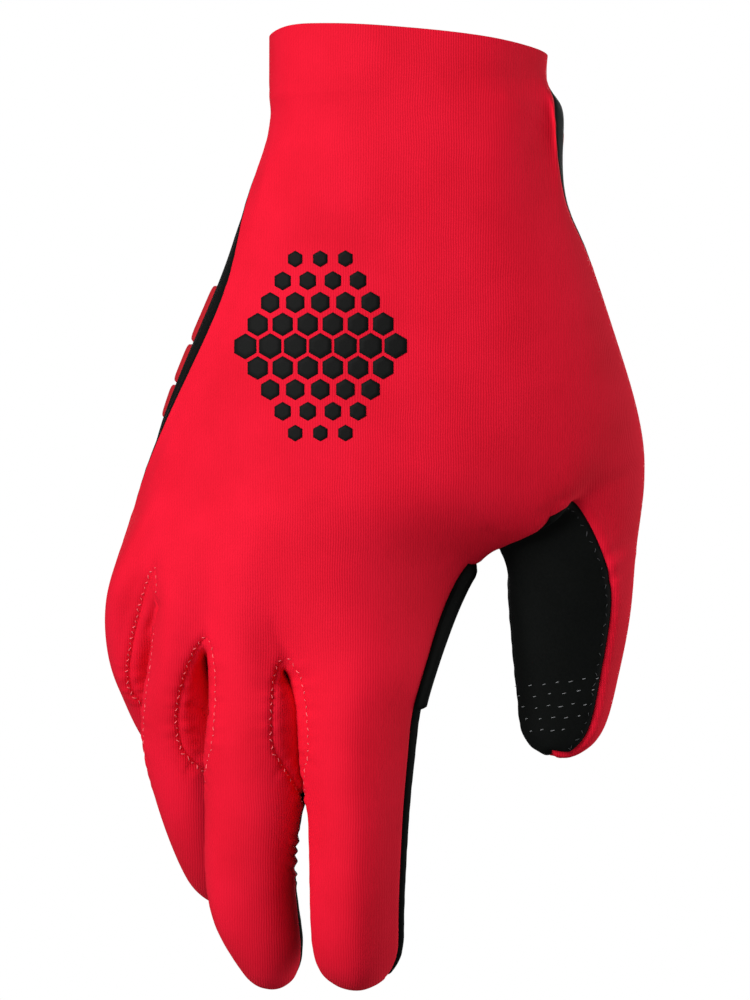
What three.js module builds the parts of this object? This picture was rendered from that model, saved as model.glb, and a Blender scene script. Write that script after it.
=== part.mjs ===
// A right-hand motocross glove, as it stands when a hand fills it: fingers down, back of the hand facing -Y,
// thumb towards +X. Sizes are in millimetres, +Z is up, and the origin is the middle of the wrist opening.
// One smooth skin is worked out from tables of sections, then cut along its seams into sewn panels,
// and each panel gets its own wall on the inside of that skin.
import * as THREE from "three";

// Cuff and hand, outside sizes.
const CUFF_WIDTH = 70;
const CUFF_DEPTH = 48;
const CUFF_HEIGHT = 10.5;
const RIM_RISE = 3.6; // how far the rim stands up in the middle of the back
const RIM_SLANT = 6; // how much lower the rim is on the thumb side
const RIM_DIP = 1.4; // how far its sides lie below the origin, so that its middle is level with it
const HEM_SLANT = -2; // and the seam below it, which runs the other way
const HAND_LENGTH = 151; // rim to the crotch between middle and index
const HAND_WIDTH = 90;
const HAND_DEPTH = 38;
const SECTION_POWER = 2.4; // 2 is an ellipse, more is squarer
const SEAM_ROOM = 0.06; // share of the half width that the back's first column keeps from the left seam
const THENAR_BULGE = 5;
const HEEL_BULGE = 3;

// Fingers and thumb, outside sizes.
const INDEX = { length: 86, width: 25, depth: 23 };
const MIDDLE = { length: 88, width: 24, depth: 23 };
const RING = { length: 80, width: 21.5, depth: 21 };
const LITTLE = { length: 64, width: 20, depth: 19 };
const THUMB = { length: 92, width: 32, depth: 27 };

// Walls, and the gap that each sewn seam leaves between two panels.
const BACK_WALL = 1.2;
const PALM_WALL = 1.3;
const GUSSET_WALL = 1;
const THUMB_WALL = 1.3;
const CUFF_WALL = 2;
const SEAM_GAP = 0.4;
const SEAT_GAP = 0.35; // under a piece that lies on a panel
const PATCH_WALL = 1.1;
const PATCH_MARGIN = 1.2; // how far the patch beside the index finger stands back from its seams
const BAR_HEIGHT = 1;
const SEAM_BEVEL = 0.6; // how much further a wall's inside edge stands back from the seam

// Shares of the hand's half width at which the nine columns of the back and of the palm run.
const EVEN_COLUMNS = [-0.88, -0.66, -0.44, -0.22, 0, 0.22, 0.44, 0.66, 0.88];
const FINGER_COLUMNS = [-0.93, -0.85, -0.74, -0.6, -0.44, -0.26, -0.04, 0.44, 0.985];

// Hand sections. drop is a share of HAND_LENGTH, left and right are shares of HAND_WIDTH, and front (the
// back of the hand), rear (the palm) and the two turns, by which the sides fall away from the viewer, of
// HAND_DEPTH. spread goes from 0, columns evenly across, to 1, columns lined up with the fingers. The
// seams are in degrees round the section, 0 at the thumb side and 90 on the back. palmLeft and palmRight,
// shares of the half width, place the palm's outermost columns. lift, a share of HAND_LENGTH, is how much
// higher the section stands at the little finger's side. thenar and heel are shares of those bulges.
const WRIST = [
  {
    ...{ drop: 0.097, left: -0.388, right: 0.425, front: -0.63, rear: 0.63, spread: 0 },
    ...{ leftSeam: 180, rightSeam: 23, palmLeft: -0.88, palmRight: 0.975 },
  },
  {
    ...{ drop: 0.157, left: -0.396, right: 0.441, front: -0.62, rear: 0.6, spread: 0.1 },
    ...{ leftSeam: 180, rightSeam: 27, palmLeft: -0.88, palmRight: 0.965 },
  },
  {
    ...{ drop: 0.275, left: -0.472, right: 0.448, front: -0.6, rear: 0.55, spread: 0.2 },
    ...{ leftSeam: 166, rightSeam: 12, palmLeft: -0.93, palmRight: 0.94 },
  },
];
const HAND = [
  {
    ...{ drop: 0.405, left: -0.57, right: 0.53, front: -0.57, rear: 0.5, leftTurn: 0.05, rightTurn: 0.1 },
    ...{ spread: 0.4, leftSeam: 149, rightSeam: 0, palmLeft: -0.94, palmRight: 0.92, thenar: 0.5, heel: 0.6 },
  },
  {
    ...{ drop: 0.585, left: -0.69, right: 0.575, front: -0.55, rear: 0.44, leftTurn: 0.15, rightTurn: 0.2 },
    ...{ spread: 0.6, leftSeam: 154, rightSeam: 0, palmLeft: -0.945, palmRight: 0.94 },
    ...{ lift: 0.01, thenar: 1, heel: 1 },
  },
  {
    ...{ drop: 0.745, left: -0.742, right: 0.42, front: -0.53, rear: 0.4, leftTurn: 0.3, rightTurn: 0.25 },
    ...{ spread: 0.8, leftSeam: 176, rightSeam: 0, palmLeft: -0.95, palmRight: 0.96 },
    ...{ lift: 0.04, thenar: 0.5, heel: 0.6 },
  },
  {
    ...{ drop: 0.86, left: -0.79, right: 0.178, front: -0.53, rear: 0.36, leftTurn: 0.45, rightTurn: 0.2 },
    ...{ spread: 1, leftSeam: 192, rightSeam: 0, palmLeft: -0.93, palmRight: 0.985 },
    ...{ lift: 0.08, thenar: 0, heel: 0.2 },
  },
];
// The rows of the thumb's hole, and the row that ends at the fingers' roots.
const [THUMB_TOP_ROW, THUMB_MIDDLE_ROW, WEB_ROW, LAST_BACK_ROW] = [5, 6, 7, 8];

// Places on the hand: across is a share of HAND_WIDTH, drop of HAND_LENGTH, and out, which is towards the
// palm, of HAND_DEPTH.
// The rim of the hole that the thumb grows from, beside and below the thumb's first hand section.
const THUMB_HOLE = {
  backMiddle: { across: 0.49, drop: 0.588, out: -0.2 },
  backWeb: { across: 0.4, drop: 0.79, out: -0.08 },
  webCrest: { across: 0.25, drop: 0.822, out: 0.18 },
  palmWeb: { across: 0.26, drop: 0.81, out: 0.52 },
  palmMiddle: { across: 0.45, drop: 0.61, out: 0.64 },
};
// Where neighbouring fingers part, on the back, in the crotch itself and on the palm.
const CROTCHES = [
  {
    back: { across: -0.705, drop: 0.865, out: -0.12 },
    middle: { across: -0.69, drop: 0.96, out: 0 },
    palm: { across: -0.69, drop: 0.985, out: 0.46 },
  },
  {
    back: { across: -0.558, drop: 0.982, out: -0.3 },
    middle: { across: -0.564, drop: 1.01, out: 0.06 },
    palm: { across: -0.565, drop: 1.05, out: 0.29 },
  },
  {
    back: { across: -0.342, drop: 1.018, out: -0.36 },
    middle: { across: -0.347, drop: 1.035, out: -0.03 },
    palm: { across: -0.352, drop: 1.068, out: 0.25 },
  },
];
// Where each finger and the thumb start. backRise and palmDrop, shares of HAND_LENGTH, lift the back of a
// finger's first ring and lower its palm side.
const ROOTS = {
  little: { across: -0.769, drop: 0.91, out: 0.31, backRise: 0.035, palmDrop: 0.05 },
  ring: { across: -0.63, drop: 0.94, out: 0, backRise: 0.02, palmDrop: 0.06 },
  middle: { across: -0.447, drop: 1.011, out: -0.08, backRise: 0.01, palmDrop: 0.06 },
  index: { across: -0.119, drop: 1.011, out: -0.105, backRise: 0.01, palmDrop: 0.06 },
  thumb: { across: 0.392, drop: 0.588, out: 0.26 },
};

// Finger sections from root to tip. drop (down), side (towards the thumb) and curl (towards the palm) are
// shares of the finger's length, measured from its root; width and depth are shares of its own width and
// depth. twist turns the section about the finger's length, in degrees, so that its thumb side faces the
// viewer more.
const INDEX_SECTIONS = [
  { drop: 0, side: 0, curl: 0, width: 1.3, depth: 1.22, twist: 0 },
  { drop: 0.145, side: -0.03, curl: -0.012, width: 1.21, depth: 1.15, twist: 0 },
  { drop: 0.276, side: -0.031, curl: -0.012, width: 1.12, depth: 1.08, twist: 0 },
  { drop: 0.421, side: -0.026, curl: 0, width: 0.99, depth: 1.03, twist: 0 },
  { drop: 0.598, side: -0.028, curl: 0.035, width: 0.93, depth: 0.98, twist: 0 },
  { drop: 0.762, side: -0.03, curl: 0.093, width: 0.9, depth: 0.91, twist: 0 },
  { drop: 0.876, side: -0.026, curl: 0.155, width: 0.84, depth: 0.79, twist: 0 },
  { drop: 0.944, side: -0.023, curl: 0.2, width: 0.57, depth: 0.5, twist: 0 },
  { drop: 0.977, side: -0.022, curl: 0.225, width: 0, depth: 0, twist: 0 },
];
const MIDDLE_SECTIONS = [
  { drop: 0, side: 0, curl: 0, width: 0.92, depth: 1.13, twist: 6 },
  { drop: 0.127, side: 0.017, curl: -0.004, width: 0.94, depth: 1.06, twist: 14 },
  { drop: 0.247, side: 0.016, curl: 0.011, width: 1.01, depth: 1.06, twist: 14 },
  { drop: 0.399, side: 0.019, curl: 0.045, width: 1.02, depth: 1.03, twist: 8 },
  { drop: 0.559, side: 0.006, curl: 0.1, width: 0.96, depth: 0.98, twist: 2 },
  { drop: 0.72, side: 0.015, curl: 0.17, width: 0.92, depth: 0.91, twist: 4 },
  { drop: 0.84, side: 0.05, curl: 0.239, width: 0.77, depth: 0.79, twist: 12 },
  { drop: 0.925, side: 0.066, curl: 0.29, width: 0.52, depth: 0.5, twist: 12 },
  { drop: 0.964, side: 0.069, curl: 0.315, width: 0, depth: 0, twist: 12 },
];
const RING_SECTIONS = [
  { drop: 0, side: 0, curl: 0, width: 0.9, depth: 1.14, twist: 15 },
  { drop: 0.2, side: -0.016, curl: 0.085, width: 0.75, depth: 1.03, twist: 28 },
  { drop: 0.38, side: -0.013, curl: 0.18, width: 0.9, depth: 1.02, twist: 28 },
  { drop: 0.555, side: 0.03, curl: 0.255, width: 0.96, depth: 1, twist: 22 },
  { drop: 0.695, side: 0.062, curl: 0.352, width: 0.89, depth: 0.95, twist: 16 },
  { drop: 0.795, side: 0.088, curl: 0.445, width: 0.8, depth: 0.86, twist: 16 },
  { drop: 0.856, side: 0.103, curl: 0.52, width: 0.67, depth: 0.72, twist: 16 },
  { drop: 0.9, side: 0.111, curl: 0.57, width: 0.42, depth: 0.46, twist: 16 },
  { drop: 0.915, side: 0.114, curl: 0.59, width: 0, depth: 0, twist: 16 },
];
const LITTLE_SECTIONS = [
  { drop: 0, side: 0, curl: 0, width: 0.64, depth: 1.12, twist: 20 },
  { drop: 0.19, side: 0.006, curl: 0.155, width: 0.79, depth: 1.02, twist: 46 },
  { drop: 0.34, side: 0.058, curl: 0.285, width: 0.89, depth: 1, twist: 46 },
  { drop: 0.463, side: 0.118, curl: 0.385, width: 0.95, depth: 1, twist: 40 },
  { drop: 0.548, side: 0.156, curl: 0.51, width: 0.89, depth: 0.96, twist: 30 },
  { drop: 0.6, side: 0.184, curl: 0.61, width: 0.83, depth: 0.88, twist: 28 },
  { drop: 0.63, side: 0.2, curl: 0.69, width: 0.7, depth: 0.74, twist: 28 },
  { drop: 0.64, side: 0.207, curl: 0.745, width: 0.45, depth: 0.47, twist: 28 },
  { drop: 0.643, side: 0.21, curl: 0.77, width: 0, depth: 0, twist: 28 },
];
// The thumb's sections also lean in the plane of the picture, in degrees.
const THUMB_SECTIONS = [
  { drop: 0.272, side: 0.068, curl: 0.065, width: 1.4, depth: 1.07, lean: 36, twist: -44 },
  { drop: 0.467, side: 0.062, curl: 0.109, width: 1.04, depth: 1, lean: 10, twist: -78 },
  { drop: 0.62, side: 0.058, curl: 0.13, width: 0.95, depth: 0.93, lean: 0, twist: -85 },
  { drop: 0.75, side: 0.05, curl: 0.141, width: 0.84, depth: 0.83, lean: -3, twist: -85 },
  { drop: 0.848, side: 0.043, curl: 0.141, width: 0.74, depth: 0.7, lean: -6, twist: -85 },
  { drop: 0.918, side: 0.03, curl: 0.136, width: 0.62, depth: 0.57, lean: -8, twist: -85 },
  { drop: 0.962, side: 0.018, curl: 0.13, width: 0.38, depth: 0.35, lean: -10, twist: -85 },
  { drop: 0.982, side: 0.012, curl: 0.128, width: 0, depth: 0, lean: 0, twist: 0 },
];

// Places round a finger's ring in degrees, 0 at the thumb side and 90 on the back, in the order of the ring.
const INDEX_RING = [180, 150, 90, 14, 0, -45, -90, -135];
const MIDDLE_RING = [180, 138, 90, 50, 0, -45, -90, -135];
const RING_RING = [180, 135, 90, 55, 0, -45, -90, -135];
const LITTLE_RING = [180, 135, 90, 55, 0, -45, -90, -135];
const THUMB_RING = [180, 135, 90, 45, 0, -45, -78, -135];
const FINGER_POWER = 2.15;
const FINGERS = [
  { name: "little", size: LITTLE, sections: LITTLE_SECTIONS, ring: LITTLE_RING },
  { name: "ring", size: RING, sections: RING_SECTIONS, ring: RING_RING },
  { name: "middle", size: MIDDLE, sections: MIDDLE_SECTIONS, ring: MIDDLE_RING },
  { name: "index", size: INDEX, sections: INDEX_SECTIONS, ring: INDEX_RING },
];
const GUSSET_ROWS = 2; // full rows of a gusset down each finger, before the row where it runs out to a point
const GUSSETS = ["gusset_little_ring", "gusset_ring_middle", "gusset_middle_index"];

// Raised bars on the palm: from the first to the last row, and across the columns, counted along the cage.
const BARS = [
  { name: "heel_bar_top", rows: [4.95, 5.5], columns: [18.6, 19, 19.25] },
  { name: "heel_bar_middle", rows: [5.56, 5.9], columns: [18.6, 19, 19.25] },
  { name: "heel_bar_low", rows: [5.95, 6.3], columns: [18.6, 19, 19.25] },
  { name: "wrist_bar", rows: [2.7, 3.9], columns: [11, 11.3] },
];
const BAR_STEPS = 4; // pieces along each bar, so that it follows the palm

const FIT_ROUNDS = 4; // times that the cage is corrected, so that the smooth skin meets the table's points
const FIT_STEP = 0.9;

const degrees = THREE.MathUtils.degToRad;
const lerp = THREE.MathUtils.lerp;
const vec = (x, y, z) => new THREE.Vector3(x, y, z);

// A cosine or sine bent to the section's power, so that 2 gives an ellipse and more a squarer section.
function squared(value, power) {
  return Math.sign(value) * Math.abs(value) ** (2 / power);
}

// The cage: its points, and faces that each name the panel they belong to.
const cage = { points: [], faces: [] };

function addPoint(point) {
  cage.points.push(point);
  return cage.points.length - 1;
}

function addFace(panel, ...corners) {
  return cage.faces.push({ panel, corners }) - 1;
}

// Joins two rings that run the same way, upper to lower, face by face. panelOf names each column's panel.
function joinRings(upper, lower, panelOf) {
  for (let column = 0; column < upper.length; column++) {
    const next = (column + 1) % upper.length;
    addFace(panelOf(column), upper[column], lower[column], lower[next], upper[next]);
  }
}

const heightAt = (across) => (1 - Math.abs(across) ** SECTION_POWER) ** (1 / SECTION_POWER);

function seamPlace(angle) {
  const turn = degrees(angle);
  return [squared(Math.cos(turn), SECTION_POWER), -squared(Math.sin(turn), SECTION_POWER)];
}

// One ring round the hand: left seam, nine columns of the back, right seam, nine of the palm back again.
function handRing({ spread, leftSeam, rightSeam, palmLeft, palmRight }, pointAt) {
  const [left, right] = [seamPlace(leftSeam), seamPlace(rightSeam)];
  const columns = EVEN_COLUMNS.map((even, column) => lerp(even, FINGER_COLUMNS[column], spread));
  const back = [Math.max(columns[0], left[0] + SEAM_ROOM), ...columns.slice(1)];
  const palm = [palmLeft, ...columns.slice(1, -1), palmRight].reverse();
  return [
    left,
    ...back.map((across) => [across, -heightAt(across)]),
    right,
    ...palm.map((across) => [across, heightAt(across)]),
  ].map((place) => addPoint(pointAt(...place)));
}

// The cuff's rim and its seam. The rim rises in the middle of the back and slants down to the thumb side.
function cuffRing(drop, rise, slant) {
  const section = { spread: 0, leftSeam: 180, rightSeam: 10, palmLeft: -0.88, palmRight: 0.88 };
  return handRing(section, (across, height) => {
    const up = rise * Math.max(0, -height) - (slant * across) / 2;
    return vec((across * CUFF_WIDTH) / 2, (height * CUFF_DEPTH) / 2, up - drop);
  });
}

function sectionRing(section) {
  const middle = ((section.left + section.right) / 2) * HAND_WIDTH;
  const half = ((section.right - section.left) / 2) * HAND_WIDTH;
  return handRing(section, (across, height) => {
    const turn = ((across < 0 ? section.leftTurn : section.rightTurn) || 0) * across ** 2;
    const reach = height < 0 ? -section.front : section.rear;
    const bulge =
      height > 0
        ? (section.thenar || 0) * THENAR_BULGE * Math.exp(-(((across - 0.6) / 0.3) ** 2)) +
          (section.heel || 0) * HEEL_BULGE * Math.exp(-(((across + 0.6) / 0.35) ** 2))
        : 0;
    const drop = section.drop - ((section.lift || 0) * (1 - across)) / 2;
    return vec(middle + across * half, (turn + height * reach) * HAND_DEPTH + bulge, -drop * HAND_LENGTH);
  });
}

function placeOnHand({ across, drop, out }) {
  return vec(across * HAND_WIDTH, out * HAND_DEPTH, -drop * HAND_LENGTH);
}

// The centre line of a finger, as a smooth curve through its sections' centres.
function centreLine(name, size, sections) {
  const root = placeOnHand(ROOTS[name]);
  return sections.map((s) => root.clone().add(vec(s.side, s.curl, -s.drop).multiplyScalar(size.length)));
}

// The points of one ring about a centre. ahead is the way the finger runs; angles are in degrees round it.
function ringPoints(centre, ahead, section, size, angles) {
  const lean = degrees(section.lean || 0);
  const side = vec(Math.cos(lean), 0, Math.sin(lean));
  side.addScaledVector(ahead, -side.dot(ahead)).normalize();
  const back = vec(0, 0, 0).crossVectors(ahead, side);
  return angles.map((angle) => {
    const turn = degrees(angle + section.twist);
    return centre
      .clone()
      .addScaledVector(side, (squared(Math.cos(turn), FINGER_POWER) * section.width * size.width) / 2)
      .addScaledVector(back, (squared(Math.sin(turn), FINGER_POWER) * section.depth * size.depth) / 2);
  });
}

function ahead(centres, index) {
  const before = centres[Math.max(0, index - 1)];
  const after = centres[Math.min(centres.length - 1, index + 1)];
  return after.clone().sub(before).normalize();
}

// Closes a ring of eight over the tip with four faces, two of the back and two of the palm.
function closeTip(ring, tip, panels) {
  const centre = addPoint(tip);
  for (let k = 0; k < 4; k++) {
    addFace(panels[k], ring[2 * k], centre, ring[(2 * k + 2) % 8], ring[2 * k + 1]);
  }
}

// Hand: cuff, then the sections down to the knuckles.
const rows = [
  cuffRing(RIM_DIP, RIM_RISE, RIM_SLANT),
  cuffRing(CUFF_HEIGHT, 0, HEM_SLANT),
  ...[...WRIST, ...HAND].map(sectionRing),
];
// The last column of the back, where the thumb's hole and the index finger's seam run, and the two after it.
const [BACK_CORNER, THUMB_SIDE, PALM_CORNER] = [9, 10, 11];

function moveTo(index, place) {
  cage.points[index].copy(placeOnHand(place));
}
moveTo(rows[THUMB_MIDDLE_ROW][BACK_CORNER], THUMB_HOLE.backMiddle);
moveTo(rows[THUMB_MIDDLE_ROW][PALM_CORNER], THUMB_HOLE.palmMiddle);
moveTo(rows[WEB_ROW][BACK_CORNER], THUMB_HOLE.backWeb);
moveTo(rows[WEB_ROW][THUMB_SIDE], THUMB_HOLE.webCrest);
moveTo(rows[WEB_ROW][PALM_CORNER], THUMB_HOLE.palmWeb);

// Finger roots: neighbours share the three points of the crotch between them.
const lines = FINGERS.map(({ name, size, sections }) => centreLine(name, size, sections));
const crotchPoints = CROTCHES.map(({ back, middle, palm }) =>
  [back, middle, palm].map((place) => addPoint(placeOnHand(place))),
);
const rootIndex = FINGERS.map(({ name, size, sections, ring }, finger) => {
  const { backRise, palmDrop } = ROOTS[name];
  const way = ahead(lines[finger], 0).add(vec(0, 0, -1)).normalize();
  const points = ringPoints(lines[finger][0], way, sections[0], size, ring);
  const left = crotchPoints[finger - 1];
  const right = crotchPoints[finger];
  return points.map((point, k) => {
    if (left && [1, 0, 7].includes(k)) return left[[1, 0, 7].indexOf(k)];
    if (right && [3, 4, 5].includes(k)) return right[k - 3];
    const height = Math.sin(degrees(ring[k]));
    point.z += height * (height > 0 ? backRise : palmDrop) * HAND_LENGTH;
    return addPoint(point);
  });
});
const [littleRoot, ringRoot, middleRoot, indexRoot] = rootIndex;
const rootRow = [
  ...littleRoot.slice(0, 4),
  ...ringRoot.slice(2, 4),
  ...middleRoot.slice(2, 4),
  ...indexRoot.slice(2, 7),
  ...middleRoot.slice(5, 7),
  ...ringRoot.slice(5, 7),
  ...littleRoot.slice(5, 8),
];
rows.push(rootRow);

const CUFF_ROW = 0;
function handPanel(row, column) {
  if (row === CUFF_ROW) return "cuff_band";
  if (column < BACK_CORNER) return "back_panel";
  if (column === BACK_CORNER) return row < LAST_BACK_ROW ? "back_panel" : "palm_panel";
  return "palm_panel";
}
const inHole = (row, column) =>
  row >= THUMB_TOP_ROW && row < WEB_ROW && (column === BACK_CORNER || column === THUMB_SIDE);
const handFaces = rows.slice(1).map((lower, row) =>
  lower.map((_, column) => {
    if (inHole(row, column)) return undefined;
    const next = (column + 1) % lower.length;
    const upper = rows[row];
    return addFace(handPanel(row, column), upper[column], lower[column], lower[next], upper[next]);
  }),
);
const patchFaces = new Set([handFaces[LAST_BACK_ROW][BACK_CORNER], handFaces[LAST_BACK_ROW][THUMB_SIDE]]);

// Fingers.
FINGERS.forEach(({ name, size, sections, ring }, finger) => {
  const centres = lines[finger];
  const rings = [rootIndex[finger]];
  for (let s = 1; s + 1 < sections.length; s++) {
    rings.push(ringPoints(centres[s], ahead(centres, s), sections[s], size, ring).map(addPoint));
  }
  const leftGusset = GUSSETS[finger - 1];
  const rightGusset = GUSSETS[finger];
  const outerBack = name === "index" ? "palm_panel" : "back_panel";
  const sideFaces = [
    { column: 3, own: outerBack, gusset: rightGusset, corner: 3, middle: 4 },
    { column: 4, own: "palm_panel", gusset: rightGusset, corner: 5, middle: 4 },
    { column: 7, own: "palm_panel", gusset: leftGusset, corner: 7, middle: 0 },
    { column: 0, own: "back_panel", gusset: leftGusset, corner: 1, middle: 0 },
  ];
  for (let row = 0; row + 1 < rings.length; row++) {
    const [upper, lower] = [rings[row], rings[row + 1]];
    for (let column = 0; column < 8; column++) {
      const next = (column + 1) % 8;
      const side = sideFaces.find((f) => f.column === column);
      const own = side ? side.own : column < 3 ? "back_panel" : "palm_panel";
      if (side && side.gusset && row < GUSSET_ROWS) {
        addFace(side.gusset, upper[column], lower[column], lower[next], upper[next]);
      } else if (side && side.gusset && row === GUSSET_ROWS) {
        const { corner, middle } = side;
        const turned = next === middle || column === corner;
        const outer = [lower[corner], lower[middle]];
        const inner = [lower[middle], upper[middle]];
        addFace(own, upper[corner], ...(turned ? outer : outer.reverse()));
        addFace(side.gusset, upper[corner], ...(turned ? inner : inner.reverse()));
      } else {
        const face = addFace(own, upper[column], lower[column], lower[next], upper[next]);
        if (name === "index" && row === 0 && (column === 3 || column === 4)) patchFaces.add(face);
      }
    }
  }
  const last = rings[rings.length - 1];
  closeTip(last, centres[centres.length - 1], ["back_panel", "back_panel", "palm_panel", "palm_panel"]);
});

// Thumb: its first ring is the hole in the hand, in the same order as a finger's ring.
const [topRow, middleRow, webRow] = [rows[THUMB_TOP_ROW], rows[THUMB_MIDDLE_ROW], rows[WEB_ROW]];
const hole = [
  webRow[THUMB_SIDE],
  webRow[BACK_CORNER],
  middleRow[BACK_CORNER],
  topRow[BACK_CORNER],
  topRow[THUMB_SIDE],
  topRow[PALM_CORNER],
  middleRow[PALM_CORNER],
  webRow[PALM_CORNER],
];
const thumbCentres = centreLine("thumb", THUMB, THUMB_SECTIONS);
const thumbRings = [hole];
for (let s = 0; s + 1 < THUMB_SECTIONS.length; s++) {
  const section = THUMB_SECTIONS[s];
  const way = vec(Math.sin(degrees(section.lean)), 0.1, -Math.cos(degrees(section.lean))).normalize();
  thumbRings.push(ringPoints(thumbCentres[s], way, section, THUMB, THUMB_RING).map(addPoint));
}
const thumbPanel = (column) => (column === 0 || column >= 6 ? "thumb_panel" : "back_panel");
for (let s = 0; s + 1 < thumbRings.length; s++) {
  joinRings(thumbRings[s], thumbRings[s + 1], thumbPanel);
}
closeTip(thumbRings[thumbRings.length - 1], thumbCentres[thumbCentres.length - 1], [
  "back_panel",
  "back_panel",
  "back_panel",
  "thumb_panel",
]);

// One step of Catmull and Clark's subdivision. Faces keep their panel, and the first points are the old ones.
function subdivide({ points, faces }) {
  const edges = new Map();
  const edgeKey = (a, b) => (a < b ? `${a},${b}` : `${b},${a}`);
  const facePoints = faces.map(({ corners }) => {
    const middle = vec(0, 0, 0);
    corners.forEach((c) => middle.addScaledVector(points[c], 1 / corners.length));
    return middle;
  });
  faces.forEach(({ corners }, f) => {
    corners.forEach((a, i) => {
      const b = corners[(i + 1) % corners.length];
      const key = edgeKey(a, b);
      if (!edges.has(key)) edges.set(key, { a, b, faces: [] });
      edges.get(key).faces.push(f);
    });
  });
  const faceSums = points.map(() => ({ sum: vec(0, 0, 0), count: 0 }));
  faces.forEach(({ corners }, f) => {
    corners.forEach((c) => {
      faceSums[c].sum.add(facePoints[f]);
      faceSums[c].count += 1;
    });
  });
  const edgeSums = points.map(() => ({ sum: vec(0, 0, 0), count: 0, rim: [] }));
  edges.forEach((edge) => {
    const middle = points[edge.a].clone().add(points[edge.b]).multiplyScalar(0.5);
    for (const end of [edge.a, edge.b]) {
      edgeSums[end].sum.add(middle);
      edgeSums[end].count += 1;
      if (edge.faces.length === 1) edgeSums[end].rim.push(middle);
    }
  });
  const made = points.map((point, i) => {
    const { rim, sum, count } = edgeSums[i];
    if (rim.length) {
      return point.clone().multiplyScalar(0.5).addScaledVector(rim[0], 0.25).addScaledVector(rim[1], 0.25);
    }
    const q = faceSums[i].sum.clone().divideScalar(faceSums[i].count);
    const r = sum.clone().divideScalar(count);
    return q.addScaledVector(r, 2).addScaledVector(point, count - 3).divideScalar(count);
  });
  const firstFacePoint = made.length;
  made.push(...facePoints);
  edges.forEach((edge) => {
    const middle = points[edge.a].clone().add(points[edge.b]);
    if (edge.faces.length === 2) {
      middle.add(facePoints[edge.faces[0]]).add(facePoints[edge.faces[1]]).multiplyScalar(0.25);
    } else {
      middle.multiplyScalar(0.5);
    }
    edge.point = made.push(middle) - 1;
  });
  const split = [];
  faces.forEach(({ corners, panel }, parent) => {
    corners.forEach((corner, i) => {
      const before = corners[(i + corners.length - 1) % corners.length];
      const after = corners[(i + 1) % corners.length];
      const out = edges.get(edgeKey(corner, after)).point;
      const into = edges.get(edgeKey(before, corner)).point;
      split.push({ panel, parent, corners: [corner, out, firstFacePoint + parent, into] });
    });
  });
  const edgePoint = (a, b) => edges.get(edgeKey(a, b)).point;
  const facePoint = (face) => firstFacePoint + face;
  return { points: made, faces: split, edgePoint, facePoint };
}

// Where each point of an all-quad mesh ends up on the smooth skin.
function limitPoints({ points, faces }) {
  const rings = points.map(() => ({ near: new Map(), far: vec(0, 0, 0), count: 0 }));
  faces.forEach(({ corners }) => {
    corners.forEach((corner, i) => {
      const ring = rings[corner];
      for (const other of [corners[(i + 1) % 4], corners[(i + 3) % 4]]) {
        ring.near.set(other, (ring.near.get(other) || 0) + 1);
      }
      ring.far.add(points[corners[(i + 2) % 4]]);
      ring.count += 1;
    });
  });
  return points.map((point, i) => {
    const { near, far, count } = rings[i];
    const rim = [...near].filter(([, times]) => times === 1).map(([other]) => points[other]);
    if (rim.length === 2) {
      return point.clone().multiplyScalar(4).add(rim[0]).add(rim[1]).divideScalar(6);
    }
    const sum = point.clone().multiplyScalar(count * count).add(far);
    near.forEach((_, other) => sum.addScaledVector(points[other], 4));
    return sum.divideScalar(count * (count + 5));
  });
}

// Moves the cage's points until the smooth skin passes through the places that the tables give.
function fitCage() {
  const targets = cage.points.map((p) => p.clone());
  for (let round = 0; round < FIT_ROUNDS; round++) {
    const reached = limitPoints(subdivide(cage));
    cage.points.forEach((p, i) => p.addScaledVector(targets[i].clone().sub(reached[i]), FIT_STEP));
  }
}

fitCage();
const skin = subdivide(cage);
skin.points = limitPoints(skin);

// Outward directions at the skin's points.
function skinNormals({ points, faces }) {
  const normals = points.map(() => vec(0, 0, 0));
  faces.forEach(({ corners }) => {
    const across = points[corners[2]].clone().sub(points[corners[0]]);
    const up = points[corners[3]].clone().sub(points[corners[1]]);
    const normal = across.cross(up);
    corners.forEach((c) => normals[c].add(normal));
  });
  return normals.map((n) => n.normalize());
}
const normals = skinNormals(skin);

// A sheet of skin faces as a closed solid between two distances out from the skin. Its edge points, those for
// which onEdge holds, are drawn back by inset on top and by bevel more underneath.
function sheetGeometry(faces, { outer, inner, onEdge, inset, bevel }) {
  const drawBack = new Map();
  faces.forEach(({ corners }) => {
    const middle = vec(0, 0, 0);
    corners.forEach((c) => middle.addScaledVector(skin.points[c], 1 / 4));
    corners.forEach((c) => {
      if (!drawBack.has(c)) drawBack.set(c, vec(0, 0, 0));
      drawBack.get(c).add(middle.clone().sub(skin.points[c]));
    });
  });
  const positions = [];
  const top = new Map();
  drawBack.forEach((inward, c) => {
    inward.addScaledVector(normals[c], -inward.dot(normals[c])).normalize();
    const edge = onEdge(c) ? 1 : 0;
    const above = skin.points[c].clone().addScaledVector(inward, edge * inset);
    const below = above.clone().addScaledVector(inward, edge * bevel);
    top.set(c, positions.length / 3);
    positions.push(...above.addScaledVector(normals[c], outer).toArray());
    positions.push(...below.addScaledVector(normals[c], inner).toArray());
  });
  const index = [];
  const border = new Map();
  faces.forEach(({ corners }) => {
    const [a, b, c, d] = corners.map((corner) => top.get(corner));
    index.push(a, b, c, a, c, d);
    index.push(a + 1, c + 1, b + 1, a + 1, d + 1, c + 1);
    for (const [from, to] of [[a, b], [b, c], [c, d], [d, a]]) {
      if (!border.delete(`${to},${from}`)) border.set(`${from},${to}`, [from, to]);
    }
  });
  border.forEach(([from, to]) => index.push(from, from + 1, to + 1, from, to + 1, to));
  return solidGeometry(positions, index);
}

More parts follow.
